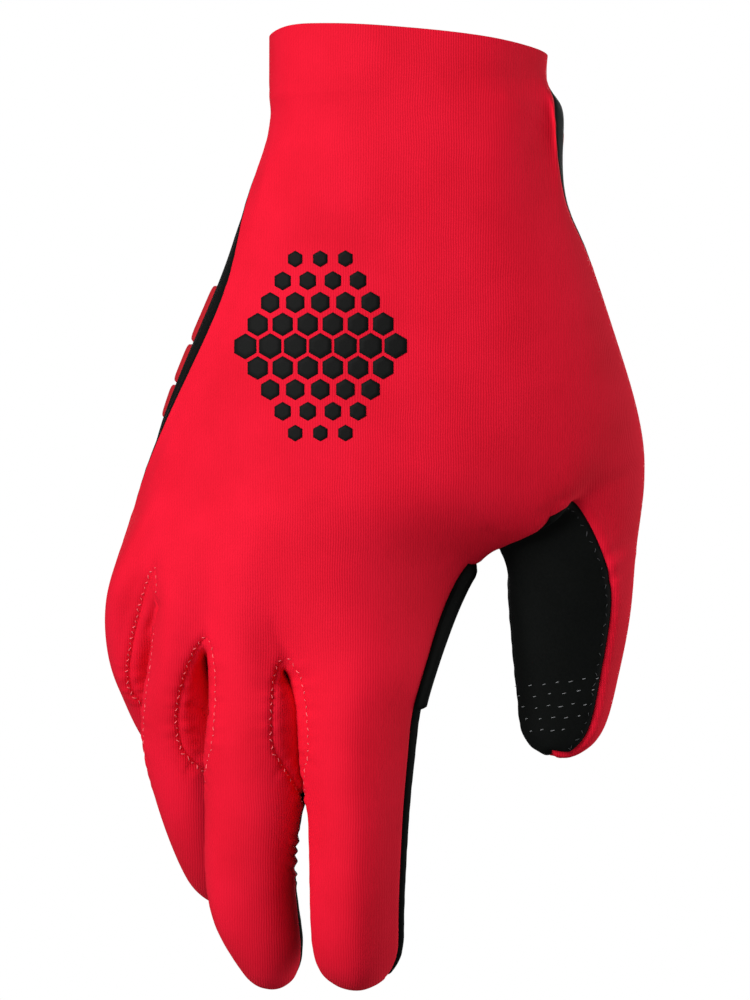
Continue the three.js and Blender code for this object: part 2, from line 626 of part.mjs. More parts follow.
function solidGeometry(positions, index) {
  const geometry = new THREE.BufferGeometry();
  geometry.setAttribute("position", new THREE.Float32BufferAttribute(positions, 3));
  geometry.setIndex(index);
  geometry.computeVertexNormals();
  return geometry;
}

const touching = skin.points.map(() => new Set());
skin.faces.forEach((face) => face.corners.forEach((c) => touching[c].add(face)));

function panelGeometry(panel, wall) {
  const faces = skin.faces.filter((face) => face.panel === panel);
  const onEdge = (c) => [...touching[c]].some((face) => face.panel !== panel);
  return sheetGeometry(faces, { outer: 0, inner: -wall, onEdge, inset: SEAM_GAP / 2, bevel: SEAM_BEVEL });
}

function patchGeometry() {
  const faces = skin.faces.filter(({ parent }) => patchFaces.has(parent));
  const onEdge = (c) => [...touching[c]].some(({ parent }) => !patchFaces.has(parent));
  const outer = SEAT_GAP + PATCH_WALL;
  return sheetGeometry(faces, { outer, inner: SEAT_GAP, onEdge, inset: PATCH_MARGIN, bevel: 0 });
}

// A point of the hand's skin and the way out from it, at any row and column, also between those of the cage.
function spotOnHand(row, column) {
  const [r, c] = [Math.floor(row * 2), Math.floor(column * 2)];
  const [down, along] = [row * 2 - r, column * 2 - c];
  const shares = [(1 - down) * (1 - along), down * (1 - along), down * along, (1 - down) * along];
  const around = [gridPoint(r, c), gridPoint(r + 1, c), gridPoint(r + 1, c + 1), gridPoint(r, c + 1)];
  const point = vec(0, 0, 0);
  const out = vec(0, 0, 0);
  around.forEach((p, i) => {
    point.addScaledVector(skin.points[p], shares[i]);
    out.addScaledVector(normals[p], shares[i]);
  });
  return { point, out: out.normalize() };
}

// The skin's point at half rows and half columns of the cage.
function gridPoint(halfRow, halfColumn) {
  const [row, column] = [Math.floor(halfRow / 2), Math.floor(halfColumn / 2)];
  const here = rows[row][column % rows[row].length];
  const [oddRow, oddColumn] = [halfRow % 2 === 1, halfColumn % 2 === 1];
  if (oddRow && oddColumn) return skin.facePoint(handFaces[row][column]);
  if (oddRow) return skin.edgePoint(here, rows[row + 1][column % rows[row].length]);
  if (oddColumn) return skin.edgePoint(here, rows[row][(column + 1) % rows[row].length]);
  return here;
}

// A bar that follows the palm: a ring at each step along its rows, out over its columns and back underneath.
function barGeometry(bar) {
  const positions = [];
  const index = [];
  const upper = bar.columns.map((column) => [column, SEAT_GAP + BAR_HEIGHT]);
  const ring = [...bar.columns.map((column) => [column, SEAT_GAP]), ...upper.reverse()];
  for (let step = 0; step <= BAR_STEPS; step++) {
    const row = lerp(bar.rows[0], bar.rows[1], step / BAR_STEPS);
    for (const [column, height] of ring) {
      const { point, out } = spotOnHand(row, column);
      positions.push(...point.addScaledVector(out, height).toArray());
    }
    if (step === 0) continue;
    for (let side = 0; side < ring.length; side++) {
      const a = ring.length * (step - 1) + side;
      const b = ring.length * (step - 1) + ((side + 1) % ring.length);
      index.push(a, b, b + ring.length, a, b + ring.length, a + ring.length);
    }
  }
  const end = ring.length * BAR_STEPS;
  for (let k = 0; k + 1 < bar.columns.length; k++) {
    const [a, b, c, d] = [k, k + 1, ring.length - 2 - k, ring.length - 1 - k];
    index.push(a, c, b, a, d, c, end + a, end + b, end + c, end + a, end + c, end + d);
  }
  return solidGeometry(positions, index);
}

const redKnit = new THREE.MeshStandardMaterial({ color: 0xe01c30, roughness: 0.85, metalness: 0 });
const redPrint = new THREE.MeshStandardMaterial({ color: 0xd81a2e, roughness: 0.45, metalness: 0 });
const blackLeather = new THREE.MeshStandardMaterial({ color: 0x141516, roughness: 0.7, metalness: 0 });

const PANELS = [
  { name: "cuff_band", wall: CUFF_WALL, material: redKnit },
  { name: "back_panel", wall: BACK_WALL, material: redKnit },
  { name: "palm_panel", wall: PALM_WALL, material: blackLeather },
  { name: "thumb_panel", wall: THUMB_WALL, material: blackLeather },
  ...GUSSETS.map((name) => ({ name, wall: GUSSET_WALL, material: redKnit })),
];

const glove = new THREE.Group();
function addPiece(name, geometry, material) {
  const mesh = new THREE.Mesh(geometry, material);
  mesh.name = name;
  glove.add(mesh);
}
for (const { name, wall, material } of PANELS) addPiece(name, panelGeometry(name, wall), material);
addPiece("index_side_patch", patchGeometry(), blackLeather);
for (const bar of BARS) addPiece(bar.name, barGeometry(bar), redPrint);

export default glove;
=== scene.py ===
"""A right-hand motocross glove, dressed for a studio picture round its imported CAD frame.

The glove's skin is one smooth surface, worked out from tables of sections in millimetres (the frame's own
axes: +Z up out of the wrist opening, back of the hand facing -Y, thumb towards +X). It is cut along its
seams into panels, and seams, folds, stitches and prints are then worked into or laid onto that skin.
"""

import heapq
import math

import bpy
import numpy as np
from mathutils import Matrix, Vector
from mathutils.bvhtree import BVHTree


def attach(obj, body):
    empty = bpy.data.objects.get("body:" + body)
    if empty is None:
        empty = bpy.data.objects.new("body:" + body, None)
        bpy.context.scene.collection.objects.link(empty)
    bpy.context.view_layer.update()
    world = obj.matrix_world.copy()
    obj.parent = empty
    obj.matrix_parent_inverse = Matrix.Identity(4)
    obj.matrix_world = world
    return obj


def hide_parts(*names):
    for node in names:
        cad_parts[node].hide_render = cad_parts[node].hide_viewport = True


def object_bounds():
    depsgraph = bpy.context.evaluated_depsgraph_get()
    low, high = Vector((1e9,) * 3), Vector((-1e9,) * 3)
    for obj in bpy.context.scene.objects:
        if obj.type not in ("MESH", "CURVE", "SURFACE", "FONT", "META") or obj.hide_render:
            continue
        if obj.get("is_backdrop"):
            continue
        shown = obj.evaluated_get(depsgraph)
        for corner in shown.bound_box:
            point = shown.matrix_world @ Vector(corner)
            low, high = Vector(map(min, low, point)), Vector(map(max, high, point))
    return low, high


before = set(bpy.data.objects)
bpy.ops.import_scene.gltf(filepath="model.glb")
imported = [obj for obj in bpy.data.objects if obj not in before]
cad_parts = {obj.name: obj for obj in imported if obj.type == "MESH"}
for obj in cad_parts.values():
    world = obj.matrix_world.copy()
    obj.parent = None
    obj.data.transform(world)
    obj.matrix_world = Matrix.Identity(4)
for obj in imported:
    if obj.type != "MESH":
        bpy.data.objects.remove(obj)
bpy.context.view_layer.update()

MM = 0.001
LEVELS = 4  # subdivision steps from the cage to the skin

# Cuff and hand, outside sizes in millimetres.
CUFF_WIDTH = 70
CUFF_DEPTH = 48
CUFF_HEIGHT = 10.5
RIM_RISE = 3.6
RIM_DIP = 1.4
RIM_SLANT = 6
HEM_SLANT = -2
HAND_LENGTH = 151
HAND_WIDTH = 90
HAND_DEPTH = 38
SECTION_POWER = 2.4
SEAM_ROOM = 0.06  # share of the half width that the back's first column keeps from the left seam
CUFF_SEAMS = (180, 10)  # degrees round the section, left and right
CUFF_PALM = (-0.88, 0.88)  # shares of the half width, the palm's first and last column
THENAR_BULGE = 5
HEEL_BULGE = 3
# Middle and reach of each bulge, as shares of the half width.
THENAR_PLACE = (0.6, 0.3)
HEEL_PLACE = (-0.6, 0.35)
# Lining as (z, depth under the skin): behind the rim's inner wall, and further down.
LINING_INSET = [(-12, 1.4), (-24, 2.6)]

# Fingers and thumb: length, width and depth.
SIZES = {
    "index": (86, 25, 23),
    "middle": (88, 24, 23),
    "ring": (80, 21.5, 21),
    "little": (64, 20, 19),
    "thumb": (92, 32, 27),
}

# Shares of the hand's half width at which the nine columns of the back and of the palm run.
EVEN_COLUMNS = [-0.88, -0.66, -0.44, -0.22, 0, 0.22, 0.44, 0.66, 0.88]
FINGER_COLUMNS = [-0.93, -0.85, -0.74, -0.6, -0.44, -0.26, -0.04, 0.44, 0.985]

# Hand sections. drop and lift are shares of HAND_LENGTH, left and right of HAND_WIDTH, and front, rear and
# the turns of HAND_DEPTH. Seams are in degrees round the section. thenar and heel are shares of those bulges.
SECTION_COLUMNS = (
    "drop", "left", "right", "front", "rear", "spread", "left_seam", "right_seam",
    "left_turn", "right_turn", "lift", "thenar", "heel", "palm_left", "palm_right",
)
SECTIONS = [
    (0.097, -0.388, 0.425, -0.63, 0.63, 0, 180, 23, 0, 0, 0, 0, 0, -0.88, 0.975),
    (0.157, -0.396, 0.441, -0.62, 0.6, 0.1, 180, 27, 0, 0, 0, 0, 0, -0.88, 0.965),
    (0.275, -0.472, 0.448, -0.6, 0.55, 0.2, 166, 12, 0, 0, 0, 0, 0, -0.93, 0.94),
    (0.405, -0.57, 0.53, -0.57, 0.5, 0.4, 149, 0, 0.05, 0.1, 0, 0.5, 0.6, -0.94, 0.92),
    (0.585, -0.69, 0.575, -0.55, 0.44, 0.6, 154, 0, 0.15, 0.2, 0.01, 1, 1, -0.945, 0.94),
    (0.745, -0.742, 0.42, -0.53, 0.4, 0.8, 176, 0, 0.3, 0.25, 0.04, 0.5, 0.6, -0.95, 0.96),
    (0.86, -0.79, 0.178, -0.53, 0.36, 1, 192, 0, 0.45, 0.2, 0.08, 0, 0.2, -0.93, 0.985),
]
THUMB_TOP_ROW = 5
THUMB_MIDDLE_ROW = 6
WEB_ROW = 7
LAST_BACK_ROW = 8
BACK_CORNER = 9
THUMB_SIDE = 10
PALM_CORNER = 11

# Places on the hand as (across, drop, out), shares of HAND_WIDTH, HAND_LENGTH and HAND_DEPTH.
THUMB_HOLE = {
    (THUMB_MIDDLE_ROW, BACK_CORNER): (0.49, 0.588, -0.2),
    (WEB_ROW, BACK_CORNER): (0.4, 0.79, -0.08),
    (WEB_ROW, THUMB_SIDE): (0.25, 0.822, 0.18),
    (WEB_ROW, PALM_CORNER): (0.26, 0.81, 0.52),
    (THUMB_MIDDLE_ROW, PALM_CORNER): (0.45, 0.61, 0.64),
}
# Where neighbouring fingers part: on the back, in the crotch itself and on the palm.
CROTCHES = [
    [(-0.705, 0.865, -0.12), (-0.69, 0.96, 0), (-0.69, 0.985, 0.46)],
    [(-0.558, 0.982, -0.3), (-0.564, 1.01, 0.06), (-0.565, 1.05, 0.29)],
    [(-0.342, 1.018, -0.36), (-0.347, 1.035, -0.03), (-0.352, 1.068, 0.25)],
]
# Where each finger starts, and how far its first ring rises on the back and falls on the palm.
ROOTS = {
    "little": ((-0.769, 0.91, 0.31), 0.035, 0.05),
    "ring": ((-0.63, 0.94, 0), 0.02, 0.06),
    "middle": ((-0.447, 1.011, -0.08), 0.01, 0.06),
    "index": ((-0.119, 1.011, -0.105), 0.01, 0.06),
    "thumb": ((0.392, 0.588, 0.26), 0, 0),
}

# Finger sections from root to tip: drop, side and curl as shares of the finger's length, width and depth as
# shares of its own, twist and lean in degrees.
FINGER_SECTIONS = {
    "index": [
        (0, 0, 0, 1.3, 1.22, 0, 0),
        (0.145, -0.03, -0.012, 1.21, 1.15, 0, 0),
        (0.276, -0.031, -0.012, 1.12, 1.08, 0, 0),
        (0.421, -0.026, 0, 0.99, 1.03, 0, 0),
        (0.598, -0.028, 0.035, 0.93, 0.98, -2, 0),
        (0.762, -0.03, 0.093, 0.9, 0.91, -4, 0),
        (0.876, -0.026, 0.155, 0.84, 0.79, -6, 0),
        (0.944, -0.023, 0.2, 0.57, 0.5, -6, 0),
        (0.977, -0.022, 0.225, 0, 0, -6, 0),
    ],
    "middle": [
        (0, 0, 0, 0.92, 1.13, 6, 0),
        (0.127, 0.017, -0.004, 0.94, 1.06, 14, 0),
        (0.247, 0.016, 0.011, 1.01, 1.06, 14, 0),
        (0.399, 0.019, 0.045, 1.02, 1.03, 8, 0),
        (0.559, 0.006, 0.1, 0.96, 0.98, 2, 0),
        (0.72, 0.015, 0.17, 0.92, 0.91, 4, 0),
        (0.84, 0.05, 0.239, 0.77, 0.79, 12, 0),
        (0.925, 0.066, 0.29, 0.52, 0.5, 12, 0),
        (0.964, 0.069, 0.315, 0, 0, 12, 0),
    ],
    "ring": [
        (0, 0, 0, 0.9, 1.14, 15, 0),
        (0.2, -0.016, 0.085, 0.75, 1.03, 28, 0),
        (0.38, -0.013, 0.18, 0.9, 1.02, 28, 0),
        (0.555, 0.03, 0.255, 0.96, 1, 22, 0),
        (0.695, 0.062, 0.352, 0.89, 0.95, 16, 0),
        (0.795, 0.088, 0.445, 0.8, 0.86, 16, 0),
        (0.856, 0.103, 0.52, 0.67, 0.72, 16, 0),
        (0.9, 0.111, 0.57, 0.42, 0.46, 16, 0),
        (0.915, 0.114, 0.59, 0, 0, 16, 0),
    ],
    "little": [
        (0, 0, 0, 0.64, 1.12, 20, 0),
        (0.19, 0.006, 0.155, 0.79, 1.02, 46, 0),
        (0.34, 0.058, 0.285, 0.89, 1, 46, 0),
        (0.463, 0.118, 0.385, 0.95, 1, 40, 0),
        (0.548, 0.156, 0.51, 0.89, 0.96, 30, 0),
        (0.6, 0.184, 0.61, 0.83, 0.88, 28, 0),
        (0.63, 0.2, 0.69, 0.7, 0.74, 28, 0),
        (0.64, 0.207, 0.745, 0.45, 0.47, 28, 0),
        (0.643, 0.21, 0.77, 0, 0, 28, 0),
    ],
    "thumb": [
        (0.272, 0.068, 0.065, 1.4, 1.07, -44, 36),
        (0.467, 0.062, 0.109, 1.04, 1, -78, 10),
        (0.62, 0.058, 0.13, 0.95, 0.93, -85, 0),
        (0.75, 0.05, 0.141, 0.84, 0.83, -85, -3),
        (0.848, 0.043, 0.141, 0.74, 0.7, -85, -6),
        (0.918, 0.03, 0.136, 0.62, 0.57, -85, -8),
        (0.962, 0.018, 0.13, 0.38, 0.35, -85, -10),
        (0.982, 0.012, 0.128, 0, 0, 0, 0),
    ],
}
# Degrees round a finger at which the eight points of each of its rings lie, from the left over the back.
RING_SIZE = 8
RINGS = {
    "index": [180, 150, 90, 14, 0, -45, -90, -135],
    "middle": [180, 138, 90, 50, 0, -45, -90, -135],
    "ring": [180, 135, 90, 55, 0, -45, -90, -135],
    "little": [180, 135, 90, 55, 0, -45, -90, -135],
    "thumb": [180, 135, 90, 45, 0, -45, -78, -135],
}
FINGER_POWER = 2.15
LEFT_SIDE = (1, 0, 7)  # places in a root ring that it shares with the finger to its left
RIGHT_SIDE = (3, 4, 5)
THUMB_TILT = 0.1  # of the thumb's rings, towards the palm
FINGERS = ["little", "ring", "middle", "index"]
GUSSETS = ["gusset_little_ring", "gusset_ring_middle", "gusset_middle_index"]
GUSSET_ROWS = 2
PANELS = ["cuff_band", "back_panel", "palm_panel", "thumb_panel", *GUSSETS]

# Rounds in which the cage is moved until its smooth skin runs through the points that are given.
FIT_ROUNDS = 4
FIT_STEP = 0.9


def lerp(a, b, t):
    return a + (b - a) * t


def squared(value, power):
    """A cosine or sine, moved out so that the circle becomes a rounded square."""
    return math.copysign(abs(value) ** (2 / power), value)


def unit(v):
    return v / np.linalg.norm(v)


def bell(away, reach):
    """1 where away is 0, about a third at reach, and next to nothing at twice that."""
    return np.exp(-((away / reach) ** 2))


# The cage: points, faces as lists of corners, and for each face the index of its panel.
points = []
faces = []
face_panels = []


def add_point(point):
    points.append(np.array(point, float))
    return len(points) - 1


def add_face(panel, *corners):
    faces.append(list(corners))
    face_panels.append(PANELS.index(panel))
    return len(faces) - 1


def height_at(across):
    return (1 - abs(across) ** SECTION_POWER) ** (1 / SECTION_POWER)


def hand_ring(spread, left_seam, right_seam, palm_left, palm_right, point_at):
    """Left seam, nine columns of the back, right seam, and nine columns of the palm back again."""

    def seam_place(angle):
        turn = math.radians(angle)
        return squared(math.cos(turn), SECTION_POWER), -squared(math.sin(turn), SECTION_POWER)

    left, right = seam_place(left_seam), seam_place(right_seam)
    across = [lerp(even, finger, spread) for even, finger in zip(EVEN_COLUMNS, FINGER_COLUMNS)]
    back = [max(across[0], left[0] + SEAM_ROOM), *across[1:]]
    palm = [palm_left, *across[1:-1], palm_right]
    ring = [left, *((a, -height_at(a)) for a in back), right, *((a, height_at(a)) for a in reversed(palm))]
    return [add_point(point_at(*place)) for place in ring]


def cuff_ring(drop, rise, slant):
    def point_at(across, height):
        up = rise * max(0, -height) - slant * across / 2
        return (across * CUFF_WIDTH / 2, height * CUFF_DEPTH / 2, up - drop)

    return hand_ring(0, *CUFF_SEAMS, *CUFF_PALM, point_at)


def section_ring(values):
    s = dict(zip(SECTION_COLUMNS, values))
    middle = (s["left"] + s["right"]) / 2 * HAND_WIDTH
    half = (s["right"] - s["left"]) / 2 * HAND_WIDTH

    def point_at(across, height):
        turn = s["left_turn" if across < 0 else "right_turn"] * across**2
        reach = -s["front"] if height < 0 else s["rear"]
        thenar = s["thenar"] * THENAR_BULGE * bell(across - THENAR_PLACE[0], THENAR_PLACE[1])
        heel = s["heel"] * HEEL_BULGE * bell(across - HEEL_PLACE[0], HEEL_PLACE[1])
        bulge = thenar + heel if height > 0 else 0
        drop = s["drop"] - s["lift"] * (1 - across) / 2
        return (middle + across * half, (turn + height * reach) * HAND_DEPTH + bulge, -drop * HAND_LENGTH)

    return hand_ring(s["spread"], s["left_seam"], s["right_seam"], s["palm_left"], s["palm_right"], point_at)


def on_hand(place):
    across, drop, out = place
    return np.array([across * HAND_WIDTH, out * HAND_DEPTH, -drop * HAND_LENGTH])


def centre_line(name):
    root = on_hand(ROOTS[name][0])
    length = SIZES[name][0]
    return [root + np.array([side, curl, -drop]) * length for drop, side, curl, *_ in FINGER_SECTIONS[name]]


def ring_points(name, index, centre, ahead):
    _, width, depth = SIZES[name]
    *_, wide, deep, twist, lean = FINGER_SECTIONS[name][index]
    side = np.array([math.cos(math.radians(lean)), 0, math.sin(math.radians(lean))])
    side = unit(side - ahead * side.dot(ahead))
    back = np.cross(ahead, side)
    ring = []
    for angle in RINGS[name]:
        turn = math.radians(angle + twist)
        out = side * squared(math.cos(turn), FINGER_POWER) * wide * width / 2
        up = back * squared(math.sin(turn), FINGER_POWER) * deep * depth / 2
        ring.append(centre + out + up)
    return ring


def ahead_of(centres, index):
    return unit(centres[min(len(centres) - 1, index + 1)] - centres[max(0, index - 1)])


def close_tip(ring, tip, panels):
    """Four quads from the last ring to the tip, each on its own panel."""
    centre = add_point(tip)
    for k, panel in enumerate(panels):
        add_face(panel, ring[2 * k], centre, ring[(2 * k + 2) % RING_SIZE], ring[2 * k + 1])


rows = [cuff_ring(RIM_DIP, RIM_RISE, RIM_SLANT), cuff_ring(CUFF_HEIGHT, 0, HEM_SLANT)]
rows += [section_ring(s) for s in SECTIONS]
for (row, column), place in THUMB_HOLE.items():
    points[rows[row][column]] = on_hand(place)

lines = {name: centre_line(name) for name in [*FINGERS, "thumb"]}
crotches = [[add_point(on_hand(p)) for p in crotch] for crotch in CROTCHES]
roots = {}
for finger, name in enumerate(FINGERS):
    _, back_rise, palm_drop = ROOTS[name]
    way = unit(ahead_of(lines[name], 0) + np.array([0, 0, -1]))
    ring = ring_points(name, 0, lines[name][0], way)
    left = crotches[finger - 1] if finger > 0 else None
    right = crotches[finger] if finger < len(crotches) else None
    roots[name] = []
    for k, point in enumerate(ring):
        if left and k in LEFT_SIDE:
            roots[name].append(left[LEFT_SIDE.index(k)])
        elif right and k in RIGHT_SIDE:
            roots[name].append(right[RIGHT_SIDE.index(k)])
        else:
            height = math.sin(math.radians(RINGS[name][k]))
            point[2] += height * (back_rise if height > 0 else palm_drop) * HAND_LENGTH
            roots[name].append(add_point(point))
rows.append(
    roots["little"][0:4] + roots["ring"][2:4] + roots["middle"][2:4] + roots["index"][2:7]
    + roots["middle"][5:7] + roots["ring"][5:7] + roots["little"][5:8]
)


def hand_panel(row, column):
    if row == 0:
        return "cuff_band"
    if column < BACK_CORNER or (column == BACK_CORNER and row < LAST_BACK_ROW):
        return "back_panel"
    return "palm_panel"


hand_faces = {}
for row in range(len(rows) - 1):
    for column in range(len(rows[row])):
        if THUMB_TOP_ROW <= row < WEB_ROW and column in (BACK_CORNER, THUMB_SIDE):
            continue
        following = (column + 1) % len(rows[row])
        corners = (rows[row][column], rows[row + 1][column], rows[row + 1][following], rows[row][following])
        hand_faces[row, column] = add_face(hand_panel(row, column), *corners)
patch_faces = {hand_faces[LAST_BACK_ROW, BACK_CORNER], hand_faces[LAST_BACK_ROW, THUMB_SIDE]}

for finger, name in enumerate(FINGERS):
    centres = lines[name]
    rings = [roots[name]]
    for s in range(1, len(centres) - 1):
        rings.append([add_point(p) for p in ring_points(name, s, centres[s], ahead_of(centres, s))])
    left_gusset = GUSSETS[finger - 1] if finger > 0 else None
    right_gusset = GUSSETS[finger] if finger < len(GUSSETS) else None
    # By column: own panel, gusset, the corner where the gusset's border ends, and the gusset's middle.
    columns = {
        3: ("palm_panel" if name == "index" else "back_panel", right_gusset, 3, 4),
        4: ("palm_panel", right_gusset, 5, 4),
        7: ("palm_panel", left_gusset, 7, 0),
        0: ("back_panel", left_gusset, 1, 0),
    }
    for row in range(len(rings) - 1):
        upper, lower = rings[row], rings[row + 1]
        for column in range(RING_SIZE):
            following = (column + 1) % RING_SIZE
            own = "back_panel" if column < 3 else "palm_panel"
            own, gusset, corner, middle = columns.get(column, (own, None, 0, 0))
            quad = (upper[column], lower[column], lower[following], upper[following])
            if gusset and row < GUSSET_ROWS:
                add_face(gusset, *quad)
            elif gusset and row == GUSSET_ROWS:
                outer = [upper[corner], lower[corner], lower[middle]]
                inner = [upper[corner], lower[middle], upper[middle]]
                turned = following == middle or column == corner
                add_face(own, *(outer if turned else [outer[0], outer[2], outer[1]]))
                add_face(gusset, *(inner if turned else [inner[0], inner[2], inner[1]]))
            else:
                face = add_face(own, *quad)
                if name == "index" and row == 0 and column in (3, 4):
                    patch_faces.add(face)
    close_tip(rings[-1], centres[-1], ["back_panel", "back_panel", "palm_panel", "palm_panel"])

top_row, middle_row, web_row = rows[THUMB_TOP_ROW], rows[THUMB_MIDDLE_ROW], rows[WEB_ROW]
thumb_rings = [[
    web_row[THUMB_SIDE], web_row[BACK_CORNER], middle_row[BACK_CORNER], top_row[BACK_CORNER],
    top_row[THUMB_SIDE], top_row[PALM_CORNER], middle_row[PALM_CORNER], web_row[PALM_CORNER],
]]
for s, values in enumerate(FINGER_SECTIONS["thumb"][:-1]):
    lean = math.radians(values[-1])
    way = unit(np.array([math.sin(lean), THUMB_TILT, -math.cos(lean)]))
    thumb_rings.append([add_point(p) for p in ring_points("thumb", s, lines["thumb"][s], way)])
for upper, lower in zip(thumb_rings, thumb_rings[1:]):
    for column in range(RING_SIZE):
        following = (column + 1) % RING_SIZE
        panel = "thumb_panel" if column == 0 or column >= 6 else "back_panel"
        add_face(panel, upper[column], lower[column], lower[following], upper[following])
close_tip(thumb_rings[-1], lines["thumb"][-1], ["back_panel", "back_panel", "back_panel", "thumb_panel"])


class Skin:
    """A mesh as flat lists of its faces' corners, with tags that each face hands on to its parts."""

    def __init__(self, points, corners, face_of, tags):
        self.points = points
        self.corners = corners  # vertex of each corner, face by face
        self.face_of = face_of  # face of each corner
        self.tags = tags
        count = np.bincount(face_of)
        first = np.concatenate([[0], np.cumsum(count)[:-1]])
        place = np.arange(len(corners)) - first[face_of]
        self.after = first[face_of] + (place + 1) % count[face_of]
        self.before = first[face_of] + (place - 1) % count[face_of]
        ends = np.sort(np.stack([corners, corners[self.after]], 1), 1)
        self.edges, self.edge_of = np.unique(ends, axis=0, return_inverse=True)
        self.edge_of = self.edge_of.reshape(-1)
        self.rim_edge = np.bincount(self.edge_of) == 1
        self.count = count

    def gather(self, values, index, size):
        total = np.zeros((size, values.shape[1]))
        np.add.at(total, index, values)
        return total

    def divide(self):
        """One step of Catmull and Clark's subdivision. The first points are the old ones, moved."""
        p = self.points
        face_points = self.gather(p[self.corners], self.face_of, len(self.count)) / self.count[:, None]
        middles = p[self.edges].mean(1)
        edge_sum = self.gather(face_points[self.face_of], self.edge_of, len(self.edges))
        edge_points = np.where(self.rim_edge[:, None], middles, (2 * middles + edge_sum) / 4)
        n = np.maximum(np.bincount(self.corners, minlength=len(p)), 1)[:, None]
        q = self.gather(face_points[self.face_of], self.corners, len(p)) / n
        r = self.gather(middles[self.edge_of], self.corners, len(p)) / n
        moved = (q + 2 * r + p * (n - 3)) / n
        rim = self.edges[self.rim_edge]
        at_rim = np.unique(rim)
        rim_sum = self.gather(np.repeat(middles[self.rim_edge], 2, 0), rim.reshape(-1), len(p))
        moved[at_rim] = p[at_rim] / 2 + rim_sum[at_rim] / 4
        first_edge = len(p)
        first_face = len(p) + len(edge_points)
        quads = np.stack(
            [self.corners, first_edge + self.edge_of, first_face + self.face_of,
             first_edge + self.edge_of[self.before]], 1)
        return Skin(
            np.concatenate([moved, edge_points, face_points]), quads.reshape(-1),
            np.repeat(np.arange(len(quads)), 4), self.tags[self.face_of])

    def limit(self):
        """Where each point of an all-quad mesh ends up on the smooth skin."""
        p = self.points
        n = np.maximum(np.bincount(self.corners, minlength=len(p)), 1)[:, None]
        near = self.gather(p[self.corners[self.after]], self.corners, len(p))
        far = self.gather(p[self.corners[self.after[self.after]]], self.corners, len(p))
        ends = (n * n * p + 4 * near + far) / (n * (n + 5))
        rim = self.edges[self.rim_edge]
        at_rim = np.unique(rim)
        rim_sum = self.gather(p[rim[:, ::-1].reshape(-1)], rim.reshape(-1), len(p))
        ends[at_rim] = (4 * p[at_rim] + rim_sum[at_rim]) / 6
        return ends

    def normals(self, points):
        a, b, c, d = points[self.corners.reshape(-1, 4)].transpose(1, 0, 2)
        across = np.cross(c - a, d - b)
        total = self.gather(np.repeat(across, 4, 0), self.corners, len(points))
        return total / np.maximum(np.linalg.norm(total, axis=1), 1e-9)[:, None]


corner_list = np.array([c for face in faces for c in face])
corner_face = np.array([f for f, face in enumerate(faces) for _ in face])
face_tags = np.stack([face_panels, [f in patch_faces for f in range(len(faces))]], 1).astype(int)
targets = np.array(points)
cage = Skin(targets.copy(), corner_list, corner_face, face_tags)
for _ in range(FIT_ROUNDS):
    reached = cage.divide().limit()[: len(targets)]
    cage.points = cage.points + (targets - reached) * FIT_STEP
coarse = cage.divide()
coarse_points = coarse.limit()
skin = coarse
for _ in range(LEVELS - 1):
    skin = skin.divide()
skin.points = skin.limit()
skin.quads = skin.corners.reshape(-1, 4)
skin_normals = skin.normals(skin.points)

# Which panels meet at each point, and from that the seams.
touch = np.zeros((len(skin.points), len(PANELS)), bool)
touch[skin.corners, skin.tags[skin.face_of, 0]] = True
CUFF, BACK, PALM, THUMB_PAD = range(4)  # places in PANELS, before those of the gussets
any_gusset = touch[:, PANELS.index(GUSSETS[0]):].any(1)
SEAMS = {
    "cuff": touch[:, CUFF] & (touch[:, BACK] | touch[:, PALM]),
    "gusset_back": any_gusset & touch[:, BACK],
    "gusset_palm": any_gusset & touch[:, PALM],
    "side": touch[:, BACK] & touch[:, PALM],
    "thumb": touch[:, THUMB_PAD] & (touch[:, BACK] | touch[:, PALM]),
}

# Neighbours of each point: along edges and across faces.
pairs = np.concatenate([skin.quads[:, ends] for ends in ([0, 1], [1, 2], [2, 3], [3, 0], [0, 2], [1, 3])])
pairs = np.unique(np.sort(pairs, 1), axis=0)
pairs = np.concatenate([pairs, pairs[:, ::-1]])
pairs = pairs[np.argsort(pairs[:, 0], kind="stable")]
pair_start = np.searchsorted(pairs[:, 0], np.arange(len(skin.points) + 1)).tolist()
pair_step = np.linalg.norm(skin.points[pairs[:, 0]] - skin.points[pairs[:, 1]], axis=1).tolist()
pair_end = pairs[:, 1].tolist()


FAR_AWAY = 1000  # millimetres, past every point of the glove


def nearest_along_skin(sources, reach):
    """For each point the nearest source over the skin and how far it is: -1 and FAR_AWAY past reach."""
    best = [math.inf] * len(skin.points)
    owner = [-1] * len(skin.points)
    queue = []
    for s in np.flatnonzero(sources).tolist():
        best[s] = 0
        owner[s] = s
        queue.append((0, s))
    heapq.heapify(queue)
    while queue:
        walked, at = heapq.heappop(queue)
        if walked > best[at]:
            continue
        for k in range(pair_start[at], pair_start[at + 1]):
            other = pair_end[k]
            there = walked + pair_step[k]
            if there < best[other] and there < reach:
                best[other] = there
                owner[other] = owner[at]
                heapq.heappush(queue, (there, other))
    owner = np.array(owner)
    away = np.linalg.norm(skin.points - skin.points[owner], axis=1)
    return owner, np.where(owner < 0, FAR_AWAY, away)


def chains(members):
    """The members, which lie along lines of edges, as ordered lists of points."""
    chosen = members[skin.edges].all(1)
    near = {}
    for a, b in skin.edges[chosen].tolist():
        near.setdefault(a, []).append(b)
        near.setdefault(b, []).append(a)
    unused = set(near)
    found = []
    while unused:
        start = min(unused, key=lambda v: (len([w for w in near[v] if w in unused]), v))
        chain = [start]
        unused.remove(start)
        while True:
            onward = [w for w in near[chain[-1]] if w in unused]
            if not onward:
                break
            chain.append(onward[0])
            unused.remove(onward[0])
        if len(chain) > 3:
            found.append(chain)
    return found


